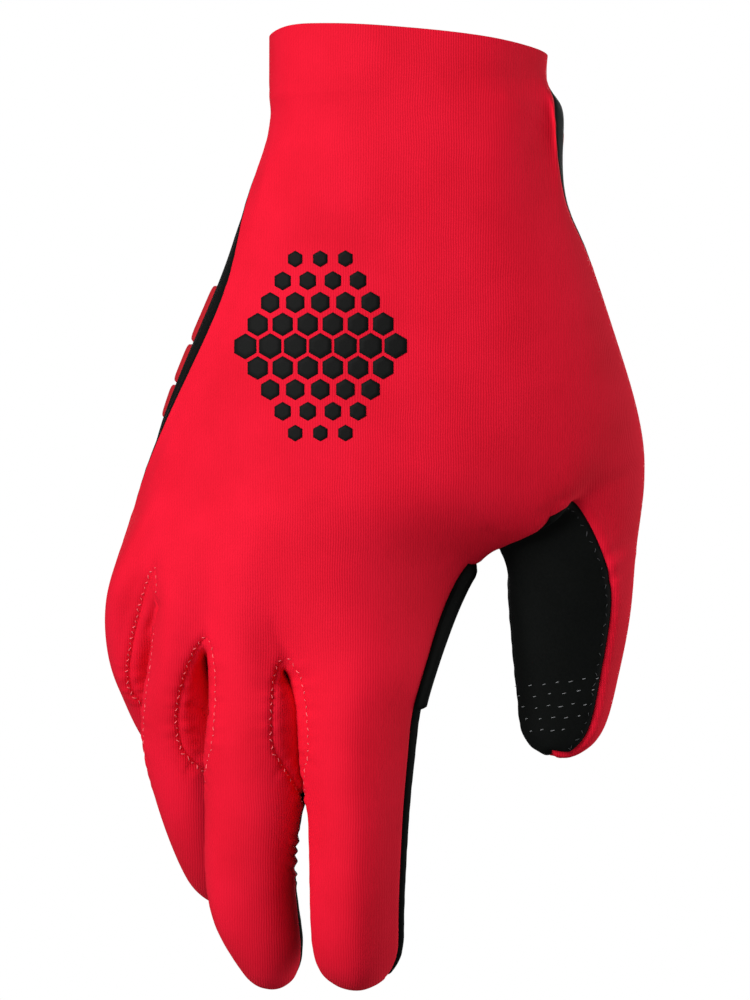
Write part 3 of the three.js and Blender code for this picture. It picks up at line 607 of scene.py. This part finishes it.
def lengths_along(chain):
    steps = np.linalg.norm(np.diff(skin.points[chain], axis=0), axis=1)
    return np.concatenate([[0], np.cumsum(steps)])


SEAM_REACH = 9
seam_near = {}
seam_place = np.zeros(len(skin.points))  # millimetres along the seam, for points on it
seam_chains = {}
for name, members in SEAMS.items():
    seam_near[name] = nearest_along_skin(members, SEAM_REACH)
    seam_chains[name] = chains(members)
    for chain in seam_chains[name]:
        seam_place[chain] = lengths_along(chain)


# The skin is evened out beside the seam at the little finger's side, where the cage's columns stand close.
RELAX_X = -30  # to the left of this
RELAX_FROM, RELAX_TO = -22, -118  # from and to these heights
RELAX_FADE = 8
RELAX_REACH = 6
RELAX_ROUNDS = 60 * 4 ** (LEVELS - 3)
RELAX_STRENGTH = 0.5
RELAX_LEAST = 0.005
seam_away = seam_near["side"][1]
fade_in = np.clip((RELAX_FROM - skin.points[:, 2]) / RELAX_FADE, 0, 1)
fade_out = np.clip((skin.points[:, 2] - RELAX_TO) / RELAX_FADE, 0, 1)
relax = RELAX_STRENGTH * fade_in * fade_out * np.exp(-((seam_away / RELAX_REACH) ** 4))
relax[skin.points[:, 0] >= RELAX_X] = 0
relax[SEAMS["side"]] = 0
moves = pairs[relax[pairs[:, 0]] > RELAX_LEAST]
moved, first_move, near_count = np.unique(moves[:, 0], return_index=True, return_counts=True)
for _ in range(RELAX_ROUNDS):
    average = np.add.reduceat(skin.points[moves[:, 1]], first_move) / near_count[:, None]
    skin.points[moved] += relax[moved, None] * (average - skin.points[moved])
skin_normals = skin.normals(skin.points)


def waves(place, period, seed):
    """An uneven wave along a seam, from -1 to 1."""
    turn = place * 2 * math.pi / period
    slow = 0.6 * np.sin(0.61 * turn + 2 * seed)
    quick = 0.4 * np.sin(1.7 * turn + 3 * seed)
    return (np.sin(turn + seed) + slow + quick) / 2


# Seam shapes: depth and width of the groove, height of the roll beside it, height and period of the puckers.
SEAM_SHAPES = {
    "cuff": (0.03, 0.5, 0, 0.03, 5),
    "gusset_back": (0.45, 0.7, 0.15, 0.3, 4.2),
    "gusset_palm": (0.8, 0.8, 0.25, 0.2, 4.6),
    "side": (0.5, 0.6, 0, 0.06, 5.5),
    "thumb": (0.7, 0.7, 0.2, 0.12, 4.8),
}
ROLL_AWAY = 2.2  # from the seam to the middle of the roll
ROLL_WIDTH = 1.3
PUCKER_START, PUCKER_REACH = 0.8, 4
lift = np.zeros(len(skin.points))
for seed, (name, (depth, width, roll, pucker, period)) in enumerate(SEAM_SHAPES.items()):
    owner, away = seam_near[name]
    lift -= depth * bell(away, width)
    lift += roll * bell(away - ROLL_AWAY, ROLL_WIDTH)
    puckers = pucker * waves(seam_place[owner], period, seed + 1)
    lift += puckers * bell(away, PUCKER_REACH) * (1 - bell(away, PUCKER_START))

# Single creases and folds on the glove's front as (x, z) lines, with depth, below 0 for a ridge, and width.
CREASES = [
    ((24, -15), (35, -21), -0.25, 1.5),
    ((39, -114), (33.5, -117.5), 0.7, 0.9),
    ((41, -114), (57, -107), 0.45, 1.8),
    ((50.5, -128), (56, -124), 0.5, 1.0),
    ((50.5, -131), (56.5, -127.5), -0.35, 1.0),
    ((50, -134.5), (55.5, -131), 0.35, 0.9),
    ((19, -121.5), (24, -124), 0.4, 1.0),
    ((-63, -140), (-65.2, -146), 0.9, 0.9),
    ((-65.2, -147), (-66, -158), 0.3, 1.5),
    ((-54.7, -165.5), (-50.6, -166.8), 0.6, 0.8),
    ((-33.5, -146), (-29.5, -153), 0.4, 1.2),
]
CREASE_FACING = 0.2  # the skin's normal is below this along Y
front = skin_normals[:, 1] < CREASE_FACING
in_picture = skin.points[:, [0, 2]]
for start, end, depth, width in CREASES:
    start, end = np.array(start), np.array(end)
    share = np.clip((in_picture - start) @ (end - start) / ((end - start) @ (end - start)), 0, 1)
    away = np.linalg.norm(in_picture - start - share[:, None] * (end - start), axis=1)
    lift -= np.where(front, depth * bell(away, width), 0)

# Rows of small ripples: the middle of each, its reach across and down, height and period down the finger.
RIPPLES = [
    ((-27.8, -204), (2.4, 6.5), 0.5, 2.9),
    ((-33, -151), (1.8, 3.2), 0.14, 1.7),
    ((-55, -172), (2.0, 4.0), 0.2, 2.6),
]
RIPPLE_SLOPE = 0.4
RIPPLE_FACING = (-0.3, 0.6)  # the skin's normal is above this along X and below this along Y
rippled = (skin_normals[:, 0] > RIPPLE_FACING[0]) & (skin_normals[:, 1] < RIPPLE_FACING[1])
for (x, z), (across, down), high, period in RIPPLES:
    aside, below = (in_picture - (x, z)).T
    fade = bell(aside, across) * np.exp(-((below / down) ** 4))
    along = in_picture[:, 1] + RIPPLE_SLOPE * aside
    waving = np.sin(along * 2 * math.pi / period + 0.8 * np.sin(along * 0.9))
    lift += np.where(rippled, high * fade * waving, 0)

# Small lumps of the fabric and of the leather: place, reach and height.
LUMPS = [((-27.5, -4, -160.5), 1.3, 0.9), ((-2.2, 19, -223.5), 1.6, 0.9)]
for place, reach, high in LUMPS:
    away = np.linalg.norm(skin.points - np.array(place), axis=1)
    nearest = max(away.min() - 0.5, 0)
    lift += high * bell(away - nearest, reach)
shaped = skin.points + skin_normals * lift[:, None]
shaped_normals = skin.normals(shaped)
skin_tree = BVHTree.FromPolygons(shaped.tolist(), skin.quads.tolist())


def add_object(name, data):
    item = bpy.data.objects.new(name, data)
    bpy.context.scene.collection.objects.link(item)
    return item


def make_piece(name, verts, polys, material, replaces=(), sharp=frozenset()):
    """A smooth piece of the one body. Shading breaks at the edges, given as sorted pairs, in sharp."""
    mesh = bpy.data.meshes.new(name)
    mesh.from_pydata((np.asarray(verts) * MM).tolist(), [], polys)
    mesh.validate()
    mesh.shade_smooth()
    if sharp:
        for edge in mesh.edges:
            edge.use_edge_sharp = tuple(sorted(edge.vertices)) in sharp
    mesh.materials.append(material)
    piece = add_object(name, mesh)
    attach(piece, "root")
    if replaces:
        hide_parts(*replaces)


# Materials.
def srgb(r, g, b):
    def linear(c):
        c /= 255
        return c / 12.92 if c <= 0.04045 else ((c + 0.055) / 1.055) ** 2.4

    return (linear(r), linear(g), linear(b), 1)


class Nodes:
    """A short way to write a material's nodes."""

    def __init__(self, name):
        self.material = bpy.data.materials.new(name)
        self.material.use_nodes = True
        self.tree = self.material.node_tree
        self.shader = self.tree.nodes["Principled BSDF"]
        self.place = self.add("ShaderNodeTexCoord").outputs["Object"]

    def add(self, kind, inputs=None, **settings):
        node = self.tree.nodes.new(kind)
        for key, value in settings.items():
            setattr(node, key, value)
        for key, value in (inputs or {}).items():
            self.feed(node, key, value)
        return node

    def feed(self, node, key, value):
        """Link an output to a node's input, or set the input to a value."""
        if isinstance(value, bpy.types.NodeSocket):
            self.tree.links.new(value, node.inputs[key])
        else:
            node.inputs[key].default_value = value

    def calculate(self, operation, *values):
        return self.add("ShaderNodeMath", dict(enumerate(values)), operation=operation).outputs[0]

    def blend(self, *parts):
        """The sum of the parts, each given as an output and its weight."""
        total = 0
        for output, weight in parts:
            total = self.calculate("MULTIPLY_ADD", output, weight, total)
        return total

    def noise(self, scale, detail, roughness=0.5):
        inputs = {"Vector": self.place, "Scale": scale, "Detail": detail, "Roughness": roughness}
        return self.add("ShaderNodeTexNoise", inputs).outputs[0]

    def bump(self, height, strength, distance):
        node = self.add("ShaderNodeBump", {"Strength": strength, "Distance": distance, "Height": height})
        self.surface({"Normal": node.outputs[0]})

    def colour_by(self, tone, *stops):
        """The base colour from a tone, with two stops, each a tone and its colour."""
        ramp = self.add("ShaderNodeValToRGB", {"Fac": tone})
        for element, (position, colour) in zip(ramp.color_ramp.elements, stops):
            element.position = position
            element.color = colour
        self.surface({"Base Color": ramp.outputs[0]})

    def surface(self, inputs):
        for key, value in inputs.items():
            self.feed(self.shader, key, value)


KNIT_RIB = 0.62 * MM  # from one rib to the next
KNIT_COURSE = 0.85 * MM  # from one row of loops to the next
KNIT_WANDER = 1.2 * MM  # how far a rib strays
SIDE_FACING = (0.62, 0.78)  # where the front's ribs give way to the sides'
DARK_GRAIN = 0.76  # how dark the grain of a plain material gets


def knit_material(name, colour, deep):
    n = Nodes(name)
    xyz = n.add("ShaderNodeSeparateXYZ", {0: n.place}).outputs
    normal = n.add("ShaderNodeNewGeometry").outputs["Normal"]
    sideways = n.calculate("ABSOLUTE", n.add("ShaderNodeSeparateXYZ", {0: normal}).outputs["X"])
    limits = {"Value": sideways, "From Min": SIDE_FACING[0], "From Max": SIDE_FACING[1]}
    turned = n.add("ShaderNodeMapRange", limits).outputs[0]
    wobble = n.noise(90, 2)

    def ribs(axis):
        position = n.calculate("MULTIPLY_ADD", wobble, KNIT_WANDER, xyz[axis])
        return n.calculate("SINE", n.calculate("MULTIPLY", position, 2 * math.pi / KNIT_RIB))

    both = n.add("ShaderNodeMix", {"Factor": turned, "A": ribs("X"), "B": ribs("Y")}, data_type="FLOAT")
    rib = both.outputs["Result"]
    loops = n.calculate("SINE", n.calculate("MULTIPLY", xyz["Z"], 2 * math.pi / KNIT_COURSE))
    fuzz = n.noise(2600, 3, 0.6)
    patchy = n.noise(55, 3)
    n.bump(n.blend((rib, 0.6), (loops, 0.08), (fuzz, 0.5)), 0.35, 0.12 * MM)
    n.colour_by(n.blend((rib, 0.04), (patchy, 0.5), (fuzz, 0.25)), (0.1, deep), (0.5, colour))
    n.surface({"Roughness": 0.82, "Specular IOR Level": 0.1})
    n.surface({"Sheen Weight": 0.04, "Sheen Roughness": 0.45, "Sheen Tint": srgb(255, 90, 100)})
    return n.material


def leather_material(name, colour, pale):
    n = Nodes(name)
    nap = n.noise(1500, 4, 0.65)
    patchy = n.noise(60, 3)
    n.bump(nap, 0.3, 0.1 * MM)
    n.colour_by(n.blend((nap, 0.5), (patchy, 0.5)), (0.35, colour), (0.75, pale))
    n.surface({"Roughness": 0.85, "Specular IOR Level": 0.08})
    return n.material


def plain_material(name, colour, roughness, shine=0.3):
    n = Nodes(name)
    grain = n.noise(900, 3)
    n.bump(grain, 0.2, 0.1 * MM)
    dark = (*(c * DARK_GRAIN for c in colour[:3]), 1)
    n.colour_by(grain, (0, dark), (1, colour))
    n.surface({"Roughness": roughness, "Specular IOR Level": shine})
    return n.material


red_knit = knit_material("red_knit", srgb(240, 22, 52), srgb(214, 15, 38))
black_leather = leather_material("black_leather", srgb(7, 9, 8), srgb(16, 18, 17))
pink_thread = plain_material("pink_thread", srgb(255, 120, 130), 0.7)
grey_thread = plain_material("grey_thread", srgb(135, 137, 139), 0.7)
dark_thread = plain_material("dark_thread", srgb(62, 64, 66), 0.7)
red_print = plain_material("red_print", srgb(200, 26, 40), 0.5)
black_print = plain_material("black_print", srgb(13, 14, 13), 0.7, shine=0.15)
lining_cloth = plain_material("lining_cloth", srgb(120, 20, 30), 0.9)


def local_mesh(quads):
    """The points that some quads use, and the quads in numbers of those."""
    used, local = np.unique(quads, return_inverse=True)
    return used, local.reshape(-1, 4)


def grid_quads(rows, columns, closed=False):
    """Quads between the points of a grid, numbered row by row. closed joins the last row to the first."""
    quads = []
    for row in range(rows if closed else rows - 1):
        a, b = row * columns, (row + 1) % rows * columns
        quads += [[a + k, b + k, b + k + 1, a + k + 1] for k in range(columns - 1)]
    return quads


def touching(chosen):
    """Which points of the skin belong to the chosen quads."""
    marks = np.zeros(len(skin.points), bool)
    marks[skin.quads[chosen]] = True
    return marks


# Panels, each with a lip that turns in at its seams.
LIP = 1
LEATHER_PANELS = ("palm_panel", "thumb_panel")
for index, name in enumerate(PANELS):
    used, quads = local_mesh(skin.quads[skin.tags[:, 0] == index])
    verts = shaped[used].tolist()
    polys = quads.tolist()
    ends = np.concatenate([quads[:, side] for side in ([0, 1], [1, 2], [2, 3], [3, 0])])
    sides = {(a, b) for a, b in ends.tolist()}
    border = [(a, b) for a, b in ends.tolist() if (b, a) not in sides]
    lips = {}
    for a, b in border:
        for v in (a, b):
            if v not in lips:
                lips[v] = len(verts)
                verts.append((shaped[used[v]] - LIP * skin_normals[used[v]]).tolist())
        polys.append([b, a, lips[a], lips[b]])
    material, slot = (black_leather, "black_leather") if name in LEATHER_PANELS else (red_knit, "red_knit")
    sharp = {(min(pair), max(pair)) for pair in border}
    make_piece(f"{name}_cloth", verts, polys, material, replaces=[name], sharp=sharp)

# Lining, seen through the wrist opening.
lining = coarse.divide()
lining_points = lining.limit()
(upper_z, upper_inset), (lower_z, lower_inset) = LINING_INSET
inset = np.interp(lining_points[:, 2], [lower_z, upper_z], [lower_inset, upper_inset])
lining_points -= lining.normals(lining_points) * inset[:, None]
used, quads = local_mesh(lining.corners.reshape(-1, 4))
make_piece("lining", lining_points[used], quads[:, ::-1].tolist(), lining_cloth)

# The rim's rolled edge as (out, up) steps: from the outside over the top and down the inside.
ROLL = [
    (0, 0), (-0.15, 0.08), (-0.5, 0.14), (-1, 0.16),
    (-1.5, 0.1), (-1.85, -0.1), (-2, -0.5), (-2.05, -9.5),
]
rim = chains(np.isin(np.arange(len(skin.points)), skin.edges[skin.rim_edge]))[0]
rim_verts = []
for v in rim:
    outward = unit(skin_normals[v] * np.array([1, 1, 0]))
    rim_verts += [shaped[v] + outward * out + np.array([0, 0, up]) for out, up in ROLL]
rim_polys = grid_quads(len(rim), len(ROLL), closed=True)
make_piece("cuff_rim", rim_verts, rim_polys, red_knit)

# Patch beside the index finger: its border lies just under the skin, and its edge rises in a round step.
PATCH_MARGIN = 1
PATCH_EDGE = 1
PATCH_HEIGHT = 1.3
PATCH_FOOT = 0.3
PATCH_REACH = 30  # more than half the patch
on_patch = skin.tags[:, 1] == 1
_, away = nearest_along_skin(touching(on_patch) & touching(~on_patch), PATCH_REACH)
used, quads = local_mesh(skin.quads[on_patch])
step = np.clip((away[used] - PATCH_MARGIN) / PATCH_EDGE, 0, 1)
height = (PATCH_HEIGHT + PATCH_FOOT) * np.sqrt(step * (2 - step)) - PATCH_FOOT
patch_verts = skin.points[used] + skin_normals[used] * height[:, None]
make_piece("index_side_pad", patch_verts, quads.tolist(), black_leather,
           replaces=["index_side_patch"])


CAMERA_SIDE = -200  # a Y in front of the whole glove


def drop_on(x, z, height):
    """The glove's front at a place in the picture plane, raised by height, and the way out there."""
    hit, normal, _, _ = skin_tree.ray_cast(Vector((x, CAMERA_SIDE, z)), Vector((0, 1, 0)))
    if normal.y > 0:
        normal = -normal
    return np.array(hit) + np.array(normal) * height, np.array(normal)


# Raised bars: cushion-topped ribbons between two rows and two columns of the hand.
BARS = {
    "heel_bar_top": ((4.95, 5.53), (18.6, 19.25)),
    "heel_bar_middle": ((5.54, 5.92), (18.6, 19.25)),
    "heel_bar_low": ((5.93, 6.3), (18.6, 19.25)),
    "wrist_bar": ((2.7, 3.9), (11, 11.3)),
}
BAR_HEIGHT = 1.35
BAR_FOOT = 0.25  # how far the edges reach under the skin
BAR_STEPS = 24
BAR_CROSS_STEPS = 8
coarse_normals = coarse.normals(coarse_points)
edge_index = {tuple(e): k for k, e in enumerate(cage.edges.tolist())}


def grid_point(half_row, half_column):
    """The skin's point at half rows and half columns of the cage."""
    row, column = half_row // 2, half_column // 2
    around = len(rows[row])
    here = rows[row][column % around]
    if half_row % 2 and half_column % 2:
        return len(targets) + len(cage.edges) + hand_faces[row, column]
    if not (half_row % 2 or half_column % 2):
        return here
    other = rows[row + 1][column % around] if half_row % 2 else rows[row][(column + 1) % around]
    return len(targets) + edge_index[tuple(sorted((here, other)))]


def spot_on_hand(row, column, height):
    """A place on the hand by row and column of the cage, whole or not, raised by height."""
    r, c = int(row * 2), int(column * 2)
    down, along = row * 2 - r, column * 2 - c
    shares = ((1 - down) * (1 - along), down * (1 - along), down * along, (1 - down) * along)
    around = [grid_point(r, c), grid_point(r + 1, c), grid_point(r + 1, c + 1), grid_point(r, c + 1)]
    point = sum(coarse_points[p] * s for p, s in zip(around, shares))
    out = unit(sum(coarse_normals[p] * s for p, s in zip(around, shares)))
    return np.array(skin_tree.find_nearest(Vector(point))[0]) + out * height


for name, (bar_rows, bar_columns) in BARS.items():
    verts = []
    for i in range(BAR_STEPS + 1):
        for j in range(BAR_CROSS_STEPS + 1):
            u = i / BAR_STEPS
            v = j / BAR_CROSS_STEPS
            cushion = (1 - abs(2 * u - 1) ** 8) * (1 - abs(2 * v - 1) ** 4)
            height = (BAR_HEIGHT + BAR_FOOT) * max(cushion, 0) ** 0.4 - BAR_FOOT
            verts.append(spot_on_hand(lerp(*bar_rows, u), lerp(*bar_columns, v), height))
    polys = grid_quads(BAR_STEPS + 1, BAR_CROSS_STEPS + 1)
    make_piece(f"{name}_print", verts, polys, red_print, replaces=[name])


class Threads:
    """Short round-ended stitches, gathered into one mesh."""

    SIDES = 6
    # Rings along a stitch, as shares of its length, its radius and its bow.
    STATIONS = [
        (-0.02, 0.3, -0.6), (0.06, 0.85, 0), (0.3, 1, 0.7), (0.5, 1, 1),
        (0.7, 1, 0.7), (0.94, 0.85, 0), (1.02, 0.3, -0.6),
    ]

    def __init__(self):
        self.verts = []
        self.polys = []

    def add(self, start, end, out, radius, bow):
        way = unit(end - start)
        side = unit(np.cross(way, out))
        up = np.cross(side, way)
        first = len(self.verts)
        for share, thick, rise in self.STATIONS:
            middle = start + (end - start) * share + up * bow * rise
            for k in range(self.SIDES):
                turn = 2 * math.pi * k / self.SIDES
                ring = side * math.cos(turn) + up * math.sin(turn)
                self.verts.append(middle + ring * radius * thick)
        last = first + (len(self.STATIONS) - 1) * self.SIDES
        for ring in range(first, last, self.SIDES):
            for k in range(self.SIDES):
                a, b = ring + k, ring + (k + 1) % self.SIDES
                self.polys.append([a, b, b + self.SIDES, a + self.SIDES])
        self.polys.append([first + k for k in range(self.SIDES)][::-1])
        self.polys.append([last + k for k in range(self.SIDES)])


WAY_STEP = 0.8  # millimetres before and behind a place on a seam, between which its way is taken


def walk(chain, spacing):
    """Points every spacing millimetres along a seam, with the way along it and the way out."""
    place = lengths_along(chain)
    stops = np.arange(spacing, place[-1] - spacing / 2, spacing)

    def along(values, at):
        return np.stack([np.interp(at, place, column) for column in values[chain].T], 1)

    spots = along(shaped, stops)
    ways = along(shaped, stops + WAY_STEP) - along(shaped, stops - WAY_STEP)
    outs = along(shaped_normals, stops)
    return [(spot, unit(way), unit(out)) for spot, way, out in zip(spots, ways, outs)]


STITCH_HEIGHT = 0.05
STITCH_BOW = 0.08
STITCH_SLOPE = 0.35
PANEL_LOOK = 1.2  # millimetres beside a seam at which a panel is looked up


def settle(point):
    """A place just over the skin near a point, and the way out there."""
    hit, normal, _, _ = skin_tree.find_nearest(Vector(point))
    normal = np.array(normal)
    return np.array(hit) + normal * STITCH_HEIGHT, normal


def seam_stitches(seam, side_panel, spacing, near, far, radius, from_x=-FAR_AWAY):
    """Slanting stitches beside a seam, on the panel named and to the right of from_x, no two quite alike."""
    threads = Threads()
    for chain in seam_chains[seam]:
        for k, (spot, way, out) in enumerate(walk(chain, spacing)):
            if spot[0] < from_x:
                continue
            side = np.cross(way, out)
            face = skin_tree.find_nearest(Vector(spot + side * PANEL_LOOK))[2]
            if PANELS[skin.tags[face, 0]] != side_panel:
                side = -side
            wander = 0.5 * math.sin(2.3 * k) + 0.5 * math.sin(5.1 * k + 1)
            slope = (STITCH_SLOPE if k % 2 else -STITCH_SLOPE) + 0.15 * wander
            reach = far + 0.25 * wander * (far - near)
            start, _ = settle(spot + side * near - way * slope)
            end, normal = settle(spot + side * reach + way * slope)
            threads.add(start, end, normal, radius * (1 + 0.25 * wander), STITCH_BOW)
    return threads


# Stitches beside the gussets' seams on the fingers' backs, and fine ones inside the edge of the thumb's pad.
threads = seam_stitches("gusset_back", "back_panel", 1.8, 0.5, 1.1, 0.11)
make_piece("gusset_stitches", threads.verts, threads.polys, pink_thread)
threads = seam_stitches("thumb", "thumb_panel", 2.6, 1.7, 2.1, 0.09, from_x=39)
make_piece("thumb_edge_stitches", threads.verts, threads.polys, dark_thread)

# Dashes in rows across the tip of the thumb's pad; each row starts further in and ends sooner than the last.
THUMB_ROWS = [
    ((27.5, -161.2), (47.5, -158.8), 7),
    ((28.2, -163.8), (46.5, -161.8), 6),
    ((29.2, -166.5), (44.5, -165.4), 6),
    ((30.0, -169.3), (43.0, -168.6), 5),
    ((31.0, -172.2), (39.0, -172.0), 4),
]
DASH_HALF = 0.45
DASH_RISE = 0.12
DASH_RADIUS = 0.11
DASH_BOW = 0.06
threads = Threads()
for row, (start, end, count) in enumerate(THUMB_ROWS):
    for dash in range(count):
        share = dash / (count - 1)
        x = lerp(start[0], end[0], share)
        z = lerp(start[1], end[1], share) + 0.25 * math.sin(3 * dash + row)
        spot, out = drop_on(x, z, DASH_BOW)
        half = np.array([DASH_HALF + 0.12 * math.sin(2 * dash + row), 0, DASH_RISE])
        threads.add(spot - half, spot + half, out, DASH_RADIUS, DASH_BOW)
make_piece("thumb_tip_stitches", threads.verts, threads.polys, grey_thread)

# A plain cluster of black hexagons on the back of the hand, smaller towards its ends.
HEX_ROWS = [3, 4, 5, 6, 7, 6, 5, 4, 3]
HEX_CELL = 6.2  # millimetres from one hexagon's middle to the next
HEX_REACH = 2.85  # from a hexagon's middle to the middle of its side
HEX_CENTRE = (-22, -76)
HEX_TAPER = 0.09  # share of its size that a hexagon loses with each row from the middle one
HEX_STEPS = 24
PRINT_HEIGHT = 0.2
# Rings of points round a hexagon's middle: share of its reach, and height over the skin.
HEX_RINGS = [(0.5, PRINT_HEIGHT), (0.95, PRINT_HEIGHT), (1, -0.1)]
hex_verts = []
hex_polys = []


def add_hexagon(middle_x, middle_z, hex_reach):
    first = len(hex_verts)
    hex_verts.append(drop_on(middle_x, middle_z, PRINT_HEIGHT)[0])
    for share, height in HEX_RINGS:
        for k in range(HEX_STEPS):
            turn = 2 * math.pi * k / HEX_STEPS
            from_side = (turn + math.pi / 6) % (math.pi / 3) - math.pi / 6
            reach = hex_reach * share / math.cos(from_side)
            x = middle_x + reach * math.cos(turn)
            z = middle_z + reach * math.sin(turn)
            hex_verts.append(drop_on(x, z, height)[0])
    for k in range(HEX_STEPS):
        a, b = first + 1 + k, first + 1 + (k + 1) % HEX_STEPS
        hex_polys.append([first, a, b])
        for ring in range(len(HEX_RINGS) - 1):
            hex_polys.append([a, a + HEX_STEPS, b + HEX_STEPS, b])
            a, b = a + HEX_STEPS, b + HEX_STEPS


for row, count in enumerate(HEX_ROWS):
    from_middle = row - len(HEX_ROWS) // 2
    z = HEX_CENTRE[1] - HEX_CELL * from_middle * math.sqrt(3) / 2
    for column in range(count):
        x = HEX_CENTRE[0] + HEX_CELL * (column - (count - 1) / 2)
        add_hexagon(x, z, HEX_REACH * (1 - HEX_TAPER * abs(from_middle)))
make_piece("back_print", hex_verts, hex_polys, black_print)

# Floor. It is plain white to the camera and neither lights nor shades the glove.
FLOOR_DROP = 50
FLOOR_HALF = 12000
floor_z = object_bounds()[0].z - FLOOR_DROP * MM
half = FLOOR_HALF * MM
corners = [(x * half, y * half, floor_z) for x, y in ((-1, -1), (1, -1), (1, 1), (-1, 1))]
floor_mesh = bpy.data.meshes.new("floor")
floor_mesh.from_pydata(corners, [], [[0, 1, 2, 3]])
floor = add_object("floor", floor_mesh)
white = Nodes("floor_white")
white.surface({"Base Color": (0, 0, 0, 1), "Specular IOR Level": 0})
white.surface({"Emission Color": (1, 1, 1, 1), "Emission Strength": 1})
floor_mesh.materials.append(white.material)
floor.visible_diffuse = False
floor.visible_glossy = False
floor.visible_shadow = False
floor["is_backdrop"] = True

# Camera, level and straight in front.
camera_data = bpy.data.cameras.new("camera")
camera_data.lens = 216
camera_data.sensor_width = 36
camera_data.clip_end = 20
camera = add_object("camera", camera_data)
camera.location = (-0.0085, -1.5, -0.114)
camera.rotation_euler = (math.radians(90), 0, 0)
bpy.context.scene.camera = camera

# Lights in metres: place, width and height, and power. Each looks at the glove's middle.
GLOVE_MIDDLE = Vector((-0.01, 0, -0.12))
LIGHTS = {
    "key": ((-1.27, -1.63, 0.63), (1, 1), 47.5),
    "edge": ((1.45, 0.42, -0.05), (0.6, 0.9), 12.5),
    "low": ((-0.7, -1.2, -1.1), (1, 1), 5),
    "behind": ((0.15, 1.9, 0.3), (1.2, 1.2), 22),
}
for name, (place, size, power) in LIGHTS.items():
    data = bpy.data.lights.new(name, "AREA")
    data.shape = "RECTANGLE"
    data.size, data.size_y = size
    data.energy = power
    light = add_object(name, data)
    light.location = place
    light.rotation_euler = (GLOVE_MIDDLE - Vector(place)).to_track_quat("-Z", "Y").to_euler()

# The sky is white to the camera and gives the glove only a weak light from all round.
SKY_LIGHT = 0.14
world = bpy.data.worlds.new("studio")
bpy.context.scene.world = world
world.use_nodes = True
sky = world.node_tree
to_camera = sky.nodes.new("ShaderNodeLightPath").outputs["Is Camera Ray"]
strength = sky.nodes.new("ShaderNodeMapRange")
strength.inputs["To Min"].default_value = SKY_LIGHT
strength.inputs["To Max"].default_value = 1
sky.links.new(to_camera, strength.inputs["Value"])
sky.links.new(strength.outputs[0], sky.nodes["Background"].inputs["Strength"])
sky.nodes["Background"].inputs["Color"].default_value = (1, 1, 1, 1)
bpy.context.scene.view_settings.view_transform = "Standard"

low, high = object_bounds()
